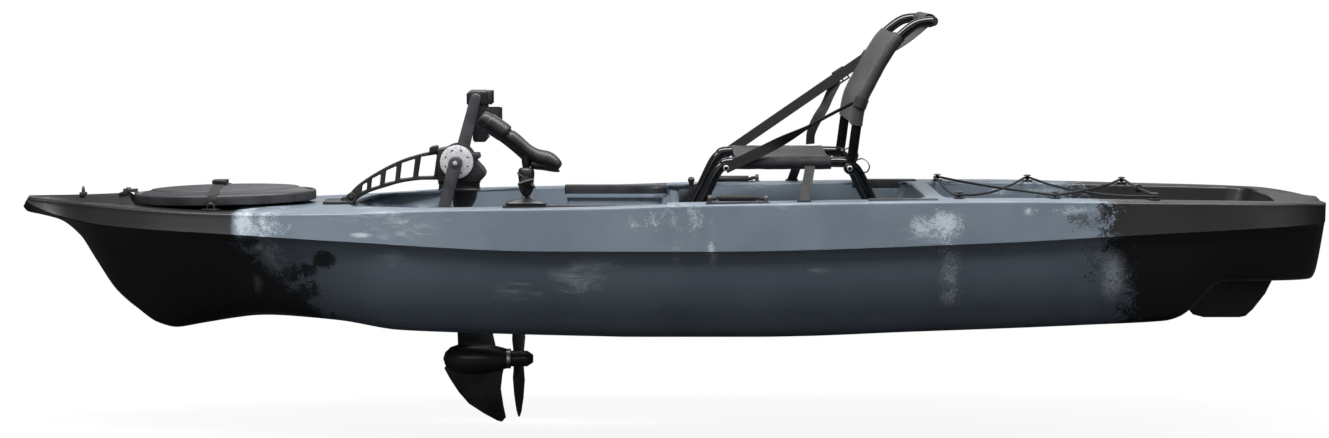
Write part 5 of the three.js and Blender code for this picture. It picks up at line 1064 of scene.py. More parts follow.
# %% [markdown]
# ## Hand loop
# Above the back the bent tube makes a loop to lift the seat by. Its top bar is wrapped in webbing, and a
# webbing band ties it down to the back so that the sling can't ride down the tubes.

# %% Wrap and tie band of the hand loop
TIE_HALF, TIE_THICK, WRAP_RADIUS, WRAP_TURNS, BAR_RADIUS = 160, 1.4, 15.2, 1.02, 12
TOP_BAR = Vector((SEAT_REAR + BACK_TUBES[-1][0], 0, BOLT_Z + BACK_TUBES[-1][1]))
TIE_LOW = Vector((SEAT_REAR + 84, 0, BOLT_Z + 262))


def wrap_place(share, wide):
    turn = share * math.tau * WRAP_TURNS
    radius = WRAP_RADIUS + 0.5 * share + 0.35 * math.sin(wide * 2 * TIE_HALF / 12 * math.tau / 2)
    return TOP_BAR + Vector((radius * math.cos(turn), (wide - 0.5) * 2 * TIE_HALF, radius * math.sin(turn)))


def tie_place(share, wide):
    start = TOP_BAR + Vector((-4, 0, -WRAP_RADIUS))
    slack = math.sin(share * math.pi) * 5
    return start.lerp(TIE_LOW, share) + Vector((slack * 0.4, (wide - 0.5) * 2 * TIE_HALF, -slack))


def lay(sheet, material, body, slot, width, held, rests_on, *nodes):
    piece, area = sheet
    finished(piece, material, body, slot, *nodes)
    return piece, area / (width * MM)


webbing = woven("woven_polypropylene_webbing", "#040405", "#0d0d0e", (1000, 25), 2.4, ribs=True,
                stitches=(2.5, 22.5), thread_tone="#19191b")
for name, steps, place in (("top_bar_wrap", (44, 60), wrap_place), ("back_tie_band", (12, 40), tie_place)):
    lay(cloth_grid(name, steps, place, TIE_THICK), canvas, "seat_back", "back_fabric", 2 * TIE_HALF,
        "stretched", ["seat_back_frame"])

# %% [markdown]
# ## Side straps
# Two straps stop the back from falling open. Each is bolted to the front of the base and looped round
# the back tube, the starboard one higher. The port one twists on its way, so that from the side it is
# wide at the bolt and thin at the top. The starboard one has a ladder buckle, and its spare end hangs
# down.

# %% Side straps and spare end
STRAP_WIDE, STRAP_THICK, STRAP_Y, WEB_THICK = 25, 1.8, 248, 1.7
TWIST_START, TWIST_RUN, TWIST_TURN = 0.28, 0.4, math.radians(72)


def twisted(share):
    turn = min(max((share - TWIST_START) / TWIST_RUN, 0), 1)
    return TWIST_TURN * turn * turn * (3 - 2 * turn)


def stretch(piece, y):
    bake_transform(piece)


NEAR_ROUTE = [(134, -STRAP_Y, 402), (220, -STRAP_Y, 443), (300, -STRAP_Y, 484), (380, -STRAP_Y, 528),
              (436, -STRAP_Y, 557), (446, -STRAP_Y - 6, 561)]
FAR_ROUTE = [(134, STRAP_Y, 402), (280, STRAP_Y, 503), (440, STRAP_Y, 613), (505, STRAP_Y, 658)]
TAIL_ROUTE = [(428, STRAP_Y + 4, 597), (410, STRAP_Y + 5, 560), (396, STRAP_Y + 6, 528),
              (376, STRAP_Y + 4, 495), (362, STRAP_Y + 2, 462), (360, STRAP_Y + 5, 433)]
STRAPS = [("side_strap_port", NEAR_ROUTE, twisted, "stretched", ["seat_strap_port"]),
          ("side_strap_starboard", FAR_ROUTE, lambda share: 0, "stretched", ["seat_strap_starboard"]),
          ("strap_spare_end", TAIL_ROUTE, lambda share: math.radians(30) * math.sin(share * 5), "hung", [])]
for name, route, twist, held, nodes in STRAPS:
    band, _ = lay(strap(name, route, STRAP_WIDE, STRAP_THICK, twist), webbing, None, "webbing", STRAP_WIDE,
                  held, ["seat_base_frame", "seat_back_frame"], *nodes)
    stretch(band, route[0][1])
print("straps", [name for name, *_ in STRAPS])

# %% [markdown]
# ## Seat tubes
# The seat stands on bent aluminium tube, 25 mm thick, under black powder paint. A bent tube is a line with
# a round section, so each is a curve with a bevel depth, turned into a mesh. Bolts with domed heads go
# through it, and the two back tubes turn on the rear ones.

# %% Bend the tubes and add the bolts
ARCH_HALF, TUBE_RADIUS, FOOT_Z, TUBE_SIDES = 230, 12.5, 252.8, 8
ARCH = [(40, FOOT_Z), (81, 325), (110, 385), (128, 407), (150, RAIL_Z), (284, RAIL_Z), (418, RAIL_Z),
        (440, 407), (458, 385), (487, 325), (528, FOOT_Z)]
SEAT_BOLTS = ((136, 257), (SEAT_REAR, 271))
PIN_RADIUS, BOLT_HEAD, BOLT_RADIUS, BOLT_DOME = 5.2, 4.2, 7, 1.9
EYE_LONG, EYE_RADIUS, BORE_LONG, BORE_RADIUS = 24, 14, 60, 5.6
AXIS_TURNS = {"X": (0, math.pi / 2, 0), "Y": (math.pi / 2, 0, 0), "Z": (0, 0, 0)}


def poly_curve(name, loops, closed, **settings):
    data = bpy.data.curves.new(name, "CURVE")
    for key, value in settings.items():
        setattr(data, key, value)
    for loop in loops:
        spline = data.splines.new("POLY")
        spline.points.add(len(loop) - 1)
        for point, place in zip(spline.points, loop):
            point.co = (*place, 1)
        spline.use_cyclic_u = closed
    new_piece(name, data)
    bpy.ops.object.convert(target="MESH")
    return bpy.context.object


def bent_tube(name, points, radius):
    return poly_curve(name, [[Vector(place) * MM for place in points]], False, dimensions="3D",
                      bevel_depth=radius * MM, bevel_resolution=TUBE_SIDES, use_fill_caps=True)


def join(name, pieces):
    pick(*pieces)
    bpy.context.view_layer.objects.active = pieces[0]
    bpy.ops.object.join()
    piece = bpy.context.object
    piece.name = name
    return piece


def turned_pin(name, centre, length, radius, head=0, axis="Y", sides=24, soft=0.8):
    piece = cylinder(name, radius, length, Vector(centre) * MM, AXIS_TURNS[axis], sides)
    return eased(piece, head or soft, 4 if head else 2)


def bored(centre, length, radius, soft):
    eye = turned_pin("eye", centre, length, radius, soft=soft)
    return carve(eye, turned_pin("bore", centre, BORE_LONG, BORE_RADIUS, soft=0.2))


tubes = [bent_tube("arch", smooth_route([(x, sign * ARCH_HALF, z) for x, z in ARCH], 5), TUBE_RADIUS)
         for _, sign in SIDES]
tubes += [bent_tube("foot", [(x, -ARCH_HALF - 4, FOOT_Z), (x, ARCH_HALF + 4, FOOT_Z)], TUBE_RADIUS)
          for x in (ARCH[0][0], ARCH[-1][0])]
pins = []
for x, reach in SEAT_BOLTS:
    for _, sign in SIDES:
        tubes.append(turned_pin("pin", (x, sign * (ARCH_HALF + reach) / 2, BOLT_Z), reach - ARCH_HALF,
                                PIN_RADIUS))
        pins.append(turned_pin("head", (x, sign * (reach - 2.2), BOLT_Z), BOLT_HEAD, BOLT_RADIUS,
                               head=BOLT_DOME))
base_frame = finished(join("seat_base_tubes", tubes), painted_tube, "kayak", "frame_tube", "seat_base_frame")
finished(join("seat_bolt_heads", pins), ground_steel, "kayak", "steel")
sides = [bent_tube("back", smooth_route([(SEAT_REAR + reach, sign * BACK_HALF, BOLT_Z + rise)
                                         for reach, rise in BACK_TUBES]), BAR_RADIUS) for _, sign in SIDES]
sides.append(bent_tube("bar",
                       [TOP_BAR + Vector((0, -BACK_HALF - 6, 0)), TOP_BAR + Vector((0, BACK_HALF + 6, 0))],
                       BAR_RADIUS))
sides += [bored((SEAT_REAR, sign * BACK_HALF, BOLT_Z), EYE_LONG, EYE_RADIUS, 2) for _, sign in SIDES]
back_frame = finished(join("seat_back_tubes", sides), painted_tube, "seat_back", "frame_tube",
                      "seat_back_frame")
print("tubes", len(base_frame.data.polygons), len(back_frame.data.polygons), "faces")

# %% [markdown]
# ## Lofted mouldings
# The black mouldings of the rod holder are long and round. Each is drawn as a
# row of oval rings along a line, and a subdivision modifier makes the skin flow from ring to ring.
# Two close rings keep an edge crisp.

# %% Loft a moulding along its line
def moulding(name, rows, y, sides=12):
    rings = []
    for k, (x, z, high, wide) in enumerate(rows):
        ahead, behind = rows[min(k + 1, len(rows) - 1)], rows[max(k - 1, 0)]
        run = Vector((ahead[0] - behind[0], 0, ahead[1] - behind[1])).normalized()
        up = Vector((-run.z, 0, run.x))
        turns = [(side + 0.5) / sides * math.tau for side in range(sides)]
        rings.append([Vector((x, y, z)) + up * math.sin(turn) * high + Vector((0, math.cos(turn) * wide, 0))
                      for turn in turns])
    return modify(stack(name, rings), "SUBSURF", levels=2, render_levels=2)


# %% [markdown]
# ## Rod holder
# The holder is a tube body with a locking collar, held on a ball in a double-socket arm. A wing knob
# squeezes the two halves of the arm on the balls, and the lower ball stands on a plate that slides along
# the rail. The parts are glass-filled nylon with a leathery grain.

# %% Rod holder, arm, knob and track plate
ROD_X, ROD_Y, ROD_LEAN, MOUTH = -339, -353.8, math.radians(35.4), (-452, 536)
LOWER_BALL, BALL_RADIUS, CUP_PLAY = (ROD_X, ROD_Y, 353), 12, 0.7
KNOB_Z, KNOB_SOFT = 378, 1.5
BARREL = [(-447, 532, 12, 12), (-446, 531, 19, 19), (-428, 519, 21, 21), (-386, 489, 21, 21),
          (-385, 488, 17, 17), (-381, 485, 17, 17), (-380, 484, 20, 20), (-366, 474, 20, 19),
          (-345, 457, 17, 17), (-325, 443, 16, 17), (-306, 433, 21, 19), (-288, 430, 22, 20),
          (-272, 421, 18, 19), (-262, 412, 13, 16), (-259, 410, 8, 12)]
COLLAR = [(-431, 521, 20, 20), (-430, 520, 23, 23), (-426, 517, 24, 24), (-392, 494, 24, 24),
          (-388, 491, 23, 23), (-387, 490, 20, 20)]
HORN = [(-455, 522, 6, 8), (-452, 520, 10, 12), (-440, 513, 11, 14), (-418, 494, 7, 12), (-381, 463, 4, 9),
        (-355, 442, 5, 9), (-340, 432, 9, 12)]
TAIL = [(-330, 424, 10, 12), (-318, 416, 12, 14), (-303, 417, 12, 15), (-284, 410, 9, 14), (-268, 404, 5, 12),
        (-259, 402, 2.5, 10)]
NECK = [(448, 12, 11), (430, 12, 12), (418, 11, 11), (409, 8, 8), (404, 8, 8)]
SOCKETS = [(412, 9, 9), (410, 17, 15), (404, 20, 19), (392, 21, 20), (378, 18, 16), (366, 19, 18),
           (356, 17, 17), (348, 12, 12), (346, 8, 8)]
CLAMP_BAND = [(-361, 398, 1.5, 20), (-357, 398, 4, 21.5), (-339, 383, 5.5, 21.5), (-322, 366, 5, 21),
              (-318, 361, 1.5, 19)]
WINGS = [(-358, 372, 2, 4), (-357, 372, 5, 5), (-347, 376, 5, 5), (-339, 378, 7, 5.5), (-331, 380, 5, 5),
         (-321, 384, 5, 5), (-320, 384, 2, 4)]
PLATE = [(-388, -291, 20, 322.8), (-388, -291, 20, 327), (-382, -297, 17, 330), (-362, -318, 13, 336),
         (-350, -328, 9, 339), (-347, -331, 6, 344), (-346, -332, 6, 346)]


def round_ball(name, centre, radius):
    bpy.ops.mesh.primitive_uv_sphere_add(segments=32, ring_count=18, radius=radius * MM,
                                         location=Vector(centre) * MM)
    piece = settle(bpy.context.object)
    piece.name = name
    return piece


def plinth(name, rows, y, turn, width):
    return eased(stack(name, [[(x, y + side, z) for x, side in plan(front, rear, half, half, turn(half))]
                              for front, rear, half, z in rows]), width)


barrel = moulding("rod_barrel", BARREL, ROD_Y, sides=16)
collar = moulding("rod_collar", COLLAR, ROD_Y, sides=16)
horn, tail = moulding("rod_horn", HORN, ROD_Y), moulding("rod_tail", TAIL, ROD_Y)
mouth = turned_pin("mouth", (0, 0, 0), 90, 14.5, axis="X")
mouth.matrix_world = (Matrix.Translation(Vector((MOUTH[0], ROD_Y, MOUTH[1])) * MM)
                      @ Matrix.Rotation(ROD_LEAN, 4, "Y"))
settle(mouth)
neck = moulding("rod_neck", [(ROD_X, *row) for row in NECK], ROD_Y)
holder = join("rod_holder_body", [carve(barrel, mouth), collar, horn, tail, neck])
finished(holder, fibre_nylon, "rod_cup", "black_plastic", "rod_holder")

sockets = moulding("socket_arm", [(ROD_X, *row) for row in SOCKETS], ROD_Y)
clamp_band = moulding("clamp_band", CLAMP_BAND, ROD_Y)
carve(sockets, round_ball("cup", LOWER_BALL, BALL_RADIUS + CUP_PLAY))
clamp = finished(join("socket_arm", [sockets, clamp_band]), fibre_nylon, "rod_link", "black_plastic",
                 "rod_mount_arm")

parts = [turned_pin("knob_disc", (ROD_X, ROD_Y - 24, KNOB_Z), 6, 13, soft=KNOB_SOFT),
         moulding("knob_wings", WINGS, ROD_Y - 31),
         turned_pin("knob_stub", (ROD_X, ROD_Y - 28, KNOB_Z), 12, 7, soft=KNOB_SOFT)]
knob = finished(join("wing_knob", parts), nylon, "rod_wing", "black_plastic", "rod_mount_knob")

parts = [plinth("track_plate", PLATE, ROD_Y, lambda half: 6, 0.8),
         round_ball("ball", LOWER_BALL, BALL_RADIUS)]
parts += [turned_pin("screw", (x, ROD_Y, 329), 4, 5, head=1.5, axis="Z") for x in (-378, -301)]
mount = finished(join("track_plate", parts), nylon, "rod_slider", "black_plastic", "rod_mount_base")
print("rod holder", sum(len(p.data.polygons) for p in (holder, clamp, knob, mount)), "faces")

# %% [markdown]
# ## Drive arm
# The drive hangs on a curved arm, moulded as two flanges with slanted ribs, so that it is stiff without
# being heavy. The windows between the ribs have rounded corners. A flat drawing suits it: a filled 2-D
# curve with holes is extruded to the width of the arm, and its own bevel rounds every edge.

# %% Cut the arm from a flat drawing
ARM_HALF, ARM_EDGE, GRIP_HALF, GRIP_EDGE = 13.4, 1.6, 19, 2
ARM_PIVOT, PIVOT_LONG, PIVOT_RADIUS = (-785, 0, 315), 26, 11.5
ARM_TOP = [(-797, 312), (-790, 325), (-772, 345), (-741, 367), (-701, 390), (-662, 408), (-622, 421),
           (-587, 429), (-572, 432)]
ARM_LOW = [(-572, 359), (-600, 359), (-622, 358), (-662, 352), (-701, 341), (-741, 328), (-768, 313),
           (-778, 304), (-790, 303)]
WINDOWS = [((-762, 329), (-748, 335), (-747, 353), (-760, 345)),
           ((-739, 338), (-716, 345), (-713, 373), (-736, 361)),
           ((-705, 350), (-678, 356), (-674, 393), (-701, 381)),
           ((-667, 361), (-634, 365), (-628, 411), (-662, 400)),
           ((-622, 367), (-582, 368), (-574, 422), (-614, 416))]
GRIP = [(-593, 425), (-571, 428), (-571, 443), (-578, 444), (-592, 440)]
TURN_STEPS, LONG_LOOP, LOOP_WELD = (0, 0.25, 0.5, 0.75, 1), 8, 0.02 * MM


def outline(name, loops, half, edge, y=0, turn=3.5):
    rounded_loops = []
    for number, loop in enumerate(loops):
        points = [Vector(corner) for corner in loop]
        if number or len(loop) < LONG_LOOP:
            corners, points = points, []
            for before, here, after in zip([corners[-1], *corners], corners, [*corners[1:], corners[0]]):
                start = here + (before - here).normalized() * turn
                end = here + (after - here).normalized() * turn
                points += [start * (1 - t) ** 2 + here * 2 * t * (1 - t) + end * t ** 2 for t in TURN_STEPS]
        rounded_loops.append([(point.x * MM, point.y * MM, 0) for point in points])
    piece = poly_curve(name, rounded_loops, True, dimensions="2D", fill_mode="BOTH",
                       extrude=(half - edge) * MM,
                       bevel_depth=edge * MM, bevel_resolution=2, offset=-edge * MM)
    piece.rotation_euler = AXIS_TURNS["Y"]
    piece.location = (0, y * MM, 0)
    with edit_mode(settle(piece)):
        bpy.ops.mesh.remove_doubles(threshold=LOOP_WELD)
        bpy.ops.mesh.normals_make_consistent(inside=False)
    return piece


arm_loop = [(point.x, point.z) for side in (ARM_TOP, ARM_LOW)
            for point in smooth_route([(x, 0, z) for x, z in side], 4)]
arm = outline("arm", [arm_loop, *WINDOWS], ARM_HALF, ARM_EDGE)
grip = outline("grip", [GRIP], GRIP_HALF, GRIP_EDGE)
arm = join("drive_arm_ribbed", [arm, grip, bored(ARM_PIVOT, PIVOT_LONG, PIVOT_RADIUS, 1.5)])
finished(arm, fibre_nylon, "drive", "black_plastic", "drive_arm")
print("arm", len(arm.data.polygons), "faces")

# %% [markdown]
# ## Gear head
# Two shells close round the gears, bolted through bosses round the rim. Below them a flanged collar
# carries the tapering column that goes down through the boat.

# %% Gear head, bosses and column
CRANK_X, CRANK_Z, SHAFT_X = -523, 405.6, -511
SHELL_HALF, SHELL_EDGE, SHELL_Y, SHELL_TURN = 21.6, 2.2, 22, 4
DISH_Y, DISH_LONG, DISH_RADIUS, BOSS_Y, BOSS_LONG, BOSS_RADIUS = 43.4, 3, 43, 38, 9, 5.4
HEAD_LOOP = [(-570, 356), (-570, 436), (-548, 440), (-505, 439), (-486, 425), (-470, 425), (-467, 414),
             (-478, 409), (-459, 388), (-453, 377), (-456, 367), (-468, 355)]
BOSSES = [(-476, 418), (-460, 376), (-562, 428), (-562, 364), (-478, 362)]
FLANGE = [(-571, -468, 40, 353.6), (-571, -468, 40, 351), (-569, -470, 38, 350), (-569, -470, 38, 338),
          (-571, -468, 40, 337), (-571, -468, 40, 334), (-538, -474, 30, 333), (-536, -478, 27, 310),
          (-534, -488, 23, 292), (-533, -490, 22, 288.2)]
for name, sign in SIDES:
    parts = [outline("shell", [HEAD_LOOP], SHELL_HALF, SHELL_EDGE, sign * SHELL_Y, SHELL_TURN),
             turned_pin("dish", (CRANK_X, sign * DISH_Y, CRANK_Z), DISH_LONG, DISH_RADIUS, soft=1.2,
                        sides=64)]
    parts += [turned_pin("boss", (x, sign * BOSS_Y, z), BOSS_LONG, BOSS_RADIUS, soft=1) for x, z in BOSSES]
    finished(join("gear_shell_" + name, parts), fibre_nylon, "drive", "black_plastic", "drive_head_" + name)
column = plinth("column", FLANGE, 0, lambda half: min(14, half - 2), 1)
carve(column, turned_pin("bore", (SHAFT_X, 0, 320), 90, 9, axis="Z"))
finished(column, fibre_nylon, "drive", "black_plastic", "drive_column")
print("gear head done")

# %% [markdown]
# ## Hub discs, cranks and pedals
# Each hub disc is turned from aluminium plate and drilled with eight small holes. The tool leaves fine
# rings, so the finish of the disc follows the distance from the crank axis. The cranks are forged flat
# bars with round ends, and a pedal is a wide block with a foot plate and a strap over the foot.

# %% Turned hub discs
DISC_Y, DISC_THICK, DISC_RADIUS, HOLE_RING, HOLE_COUNT, HOLE_RADIUS = 48.5, 5.8, 41, 29.5, 8, 2.5
TOOL_RING, RING_DEPTH, SPECKLE_SCALE = 1.2 * MM, 0.15 * MM, 420
turned, tree, skin = new_material("turned_aluminium_disc")
place = object_place(tree)
centred = add(tree, "Mapping", Vector=place, Location=(-CRANK_X * MM, 0, -CRANK_Z * MM)).outputs[0]
flat = add(tree, "VectorMath", {"operation": "MULTIPLY"}, _0=centred, _1=(1, 0, 1)).outputs[0]
radius = add(tree, "VectorMath", {"operation": "LENGTH"}, _0=flat).outputs["Value"]
ring = calc(tree, "SINE", times(tree, radius, math.tau / TOOL_RING))
speckle = noise_of(tree, place, SPECKLE_SCALE, 3, 0.7)
tone = tones(tree, step_between(tree, speckle, 0.35, 0.65), colour("#c6c6c9"), colour("#ececee"))
wire(tree, skin, tone, step_between(tree, speckle, 0.3, 0.7, 0.3, 0.48),
     bump_of(tree, 0.25, RING_DEPTH, ring))
skin.inputs["Metallic"].default_value = 0.45
for name, sign in SIDES:
    disc = turned_pin("disc", (CRANK_X, sign * DISC_Y, CRANK_Z), DISC_THICK, DISC_RADIUS, sides=96, soft=0.9)
    holes = []
    for k in range(HOLE_COUNT):
        angle = (k + 0.5) / HOLE_COUNT * math.tau
        centre = (CRANK_X + HOLE_RING * math.cos(angle), sign * DISC_Y, CRANK_Z + HOLE_RING * math.sin(angle))
        holes.append(turned_pin("hole", centre, 12, HOLE_RADIUS, sides=16, soft=0.1))
    finished(carve(disc, *holes), turned, "crank", "disc_metal", "hub_disc_" + name)

# %% Crank arms
CRANK_LENGTH, CRANK_LEAN, CRANK_NEAR, CRANK_THICK, CRANK_EDGE = 154, math.radians(-14.5), 90, 18, 2.2
HUB_END, TIP_END, END_STEPS = 16.5, 13.5, 12
RIM_Y, RIM_LONG, RIM_SOFT, BOLT_Y = 107.6, 2.4, 0.9, 109.2
CRANK_DOWN = Vector((math.sin(CRANK_LEAN), 0, -math.cos(CRANK_LEAN)))
CENTRE = Vector((CRANK_X, 0, CRANK_Z))
for name, sign in SIDES:
    down = CRANK_DOWN * (-sign)
    aside = Vector((down.z, 0, -down.x))
    tip = CENTRE + down * CRANK_LENGTH
    loop = []
    for end, radius, start in ((CENTRE, HUB_END, -1), (tip, TIP_END, 1)):
        for k in range(END_STEPS + 1):
            angle = math.pi * k / END_STEPS
            edge = end + aside * (-start) * math.cos(angle) * radius + down * start * math.sin(angle) * radius
            loop.append((edge.x, edge.z))
    parts = [outline("crank", [loop], CRANK_THICK / 2, CRANK_EDGE, sign * (CRANK_NEAR + CRANK_THICK / 2)),
             turned_pin("boss", (CRANK_X, sign * 71, CRANK_Z), 38.4, 15, sides=40, soft=1.5),
             turned_pin("rim", (CRANK_X, sign * RIM_Y, CRANK_Z), RIM_LONG, 13.5, sides=48, soft=RIM_SOFT),
             turned_pin("tip_rim", (tip.x, sign * RIM_Y, tip.z), RIM_LONG, 10.5, sides=40, soft=RIM_SOFT),
             turned_pin("spindle", (tip.x, sign * 164, tip.z), 116, 6.4)]
    finished(join("crank_bar_" + name, parts), crank_metal, "crank", "black_plastic", "crank_arm_" + name)
    bolts = [turned_pin("bolt", (place.x, sign * BOLT_Y, place.z), 2.6, 6.2, sides=6, soft=0.6)
             for place in (CENTRE, tip)]
    finished(join("crank_bolts_" + name, bolts), ground_steel, "crank", "steel")
print("cranks and discs done")

# %% Pedals
PEDAL_NEAR, PEDAL_WIDE, PEDAL_BODIES = 122, 100, {"port": "left_pedal", "starboard": "right_pedal"}
PLATE_LOOP = [(-9, -14), (-9, -104), (-5, -110), (22, -110), (27, -104), (27, -14)]
PIVOT_LOOP = [(-24, -16), (-24, 12), (-17, 18.5), (24, 18.5), (29, 13), (29, -16)]
HOOP = [(24, 4), (45, 5), (57, 14), (61, 30), (61, 70), (57, 86), (45, 95), (24, 96)]
HOOP_DROP, HOOP_HIGH, HOOP_THICK = 42, 34, 3.4
TREADS, TREAD_STEP, TREAD_HALF, TREAD_FRONT, TREAD_REAR, TREAD_LOW, TREAD_HIGH = 7, 12, 40, 24, 29.5, 30, 24
hoop_line = smooth_route([(x, y, 0) for x, y in HOOP])
for name, sign in SIDES:
    foot = CENTRE + CRANK_DOWN * (-sign * CRANK_LENGTH)
    middle = sign * (PEDAL_NEAR + PEDAL_WIDE / 2)
    parts = [outline("block", [[(foot.x + x, foot.z + z) for x, z in block]], half, edge, middle)
             for block, half, edge in ((PLATE_LOOP, 46, 3), (PIVOT_LOOP, 48.5, 3.5))]
    for share in (-1, 1):
        parts.append(turned_pin("cheek", (foot.x, middle + share * 44, foot.z), 11.5, 17.2, sides=40,
                                soft=2.5))
        parts.append(turned_pin("barrel", (foot.x + 33, middle + share * 40, foot.z + 1), 33, 7.6, axis="Z",
                                soft=1.8))
    for k in range(TREADS):
        low, high = foot.z - TREAD_LOW - k * TREAD_STEP, foot.z - TREAD_HIGH - k * TREAD_STEP
        parts.append(box_cutter("tread", (foot.x + TREAD_FRONT, middle - TREAD_HALF, low),
                                (foot.x + TREAD_REAR, middle + TREAD_HALF, high), 1.6, "Y"))
    for k in (1, 2, 4):
        carve(parts[k], turned_pin("bore", (foot.x, middle, foot.z), 140, 6.9, soft=0.1))
    finished(join("pedal_block_" + name, parts), nylon, PEDAL_BODIES[name], "black_plastic", "pedal_" + name)

    def hoop_place(share, wide, foot=foot, sign=sign):
        point, _ = route_point(hoop_line, share)
        return Vector((foot.x + point.x, sign * (PEDAL_NEAR + point.y),
                       foot.z - HOOP_DROP + (wide - 0.5) * HOOP_HIGH))

    band, _ = cloth_grid("pedal_strap_" + name, (48, 6), hoop_place, HOOP_THICK)
    finished(band, soft_rubber, PEDAL_BODIES[name], "black_plastic")
print("pedals done")

# %% [markdown]
# ## Hatch lid and its strap
# The lid is moulded: a rolled rim, a gutter inside it, and a low crown with one step. Every ring of it
# is the same oval, drawn in by so many millimetres, so it is written as one section. A webbing strap
# crosses the lid and closes in a side-release buckle. It is taut, so it touches the rim and the crown
# and leaves the gutter open; rays that are dropped on the lid give the heights.

# %% Hatch lid
LID_RINGS = [(-4, 0.4), (-4, 14), (-7, 17.4), (-15.5, 18), (-23, 21.2), (-31, 24.3), (-45, 27.6), (-95, 33.8),
             (-160, 36.2), (-160, 40.2), (-130, 39.7), (-95, 38), (-65, 35.6), (-48, 33.8), (-44, 32.9),
             (-42, 30.9), (-31, 28.2), (-23, 25.2), (-18, 22.6), (-15.5, 21.8), (-12.5, 22.5), (-9.5, 24.4),
             (-6, 25.3), (-3, 24.6), (-0.8, 21.6), (0, 17), (0, 3), (-1.2, 0.4)]
LID_SIDES, TONGUE = 120, ((-1400, -60, 250), (HATCH_X - HATCH_LONG + 6, 60, 400))
turns = [math.tau * k / LID_SIDES for k in range(LID_SIDES)]
lid = onto_hatch(stack("lid",
                       [[((HATCH_LONG + ring.x) * math.cos(turn), (HATCH_WIDE + ring.x) * math.sin(turn),
                                 ring.z) for turn in turns]
                               for ring in smooth_route([(grow, 0, z) for grow, z in LID_RINGS], 3)]))
tongue = carve(copy_of("bow_hatch_lid"), box_cutter("front", *TONGUE), operation="INTERSECT")
lid = finished(join("hatch_lid_moulded", [lid, tongue]), hatch_skin, "hatch_lid", "hatch_plastic",
               "bow_hatch_lid")
print("lid", len(lid.data.polygons), "faces")

# %% Lay the strap over the lid
HATCH_STRAP_X, STRAP_END = -1110.5, 165.6
STRAP_SPAN = [161, 157, 122, 104, 84, 62, 40, 20]
STRAP_TAIL = [(STRAP_END + 1.4, 322), (STRAP_END + 1.6, 306)]
STRAP_RISE, RAY_TOP = 1.5, 500


def height_on(piece, x, y):
    tree = BVHTree.FromObject(piece, bpy.context.evaluated_depsgraph_get())
    return tree.ray_cast(Vector((x, y, RAY_TOP)) * MM, Vector((0, 0, -1)))[0].z / MM


bpy.context.view_layer.update()
hatch_route = [(-y, z) for y, z in reversed(STRAP_TAIL)]
for y in [*(-y for y in STRAP_SPAN), 0, *reversed(STRAP_SPAN)]:
    hatch_route.append((y, height_on(lid, HATCH_STRAP_X, y) + STRAP_RISE))
route = [(HATCH_STRAP_X, y, z) for y, z in [*hatch_route, *STRAP_TAIL]]
_, long = lay(strap("hatch_hold_strap", route, STRAP_WIDE, WEB_THICK, axis=(1, 0, 0), steps=110), webbing,
              "hatch_lid", "webbing", STRAP_WIDE, "stretched", ["bow_hatch_lid"], "bow_hatch_strap")
print("hatch strap", round(long, 3), "m")

# %% [markdown]
# ## Shock cord
# The lashing is one 6 mm shock cord: rubber threads under a braided cover. It is laced round the six
# posts and crosses itself over the tank well, and its ends meet in the toggle at the stern. The braid's
# strands are 1.2 mm wide; its finish is a fine noise grain, without strands.

# %% Lace the cord round the posts
CORD_RADIUS, CORD_TURN, TOGGLE_REACH, CORD_DROP, BEND_STEPS = 3, 8, 16.5, 9, 12
LACING = [(2, -1), (1, 1), (0, -1), (0, 1), (1, -1), (2, 1)]
SAGS, SAG_PLACES = (14, 14, 9, 4, 4), (0.2, 0.4, 0.5, 0.6, 0.8)


def box_of(piece):
    corners = [Vector(corner) / MM for corner in piece.bound_box]
    return corners, [Vector([pick_one(corner[k] for corner in corners) for k in range(3)])
                     for pick_one in (min, max)]


posts = {}
for row in range(3):
    for name, sign in SIDES:
        corners, (_, high) = box_of(fitted[f"lashing_post_{row + 1}_{name}"])
        posts[row, sign] = sum(corners, Vector()) / 8
        posts[row, sign].z = high.z - CORD_DROP


def tangent(run, other, outboard):
    heading = math.atan2(run.y, run.x)
    ways = [heading + math.pi / 2, heading - math.pi / 2]
    away = [other.x * math.cos(angle) + other.y * math.sin(angle) for angle in ways]
    angle = (ways[0] if away[0] < away[1] else ways[1]) - outboard
    return math.atan2(math.sin(angle), math.cos(angle))


toggle = (posts[2, -1] + posts[2, 1]) / 2
stops = [toggle, *(posts[row, side] for row, side in LACING), toggle]
cord_line = [toggle + (stops[1] - toggle).normalized() * TOGGLE_REACH]
for k, (row, side) in enumerate(LACING):
    before, here, after = stops[k:k + 3]
    outboard = side * math.pi / 2
    start = tangent(before - here, after - here, outboard)
    end = tangent(after - here, before - here, outboard)
    for step in range(BEND_STEPS + 1):
        angle = outboard + start + (end - start) * step / BEND_STEPS
        cord_line.append(here + Vector((math.cos(angle), math.sin(angle), 0)) * CORD_TURN)
    if k < len(SAGS):
        leave = cord_line[-1]
        for share in SAG_PLACES:
            point = leave.lerp(after, share)
            point.z -= SAGS[k] * 4 * share * (1 - share)
            cord_line.append(point)
cord_line.append(toggle + (stops[-2] - toggle).normalized() * TOGGLE_REACH)
braid = finish_of("braided_shock_cord", "#0b0b0d", "#1d1d20", (0.62, 0.85), 900, 0.5)
cord = bent_tube("shock_cord", cord_line, CORD_RADIUS)
finished(cord, braid, "kayak", "cord_rubber", "lashing_cord")

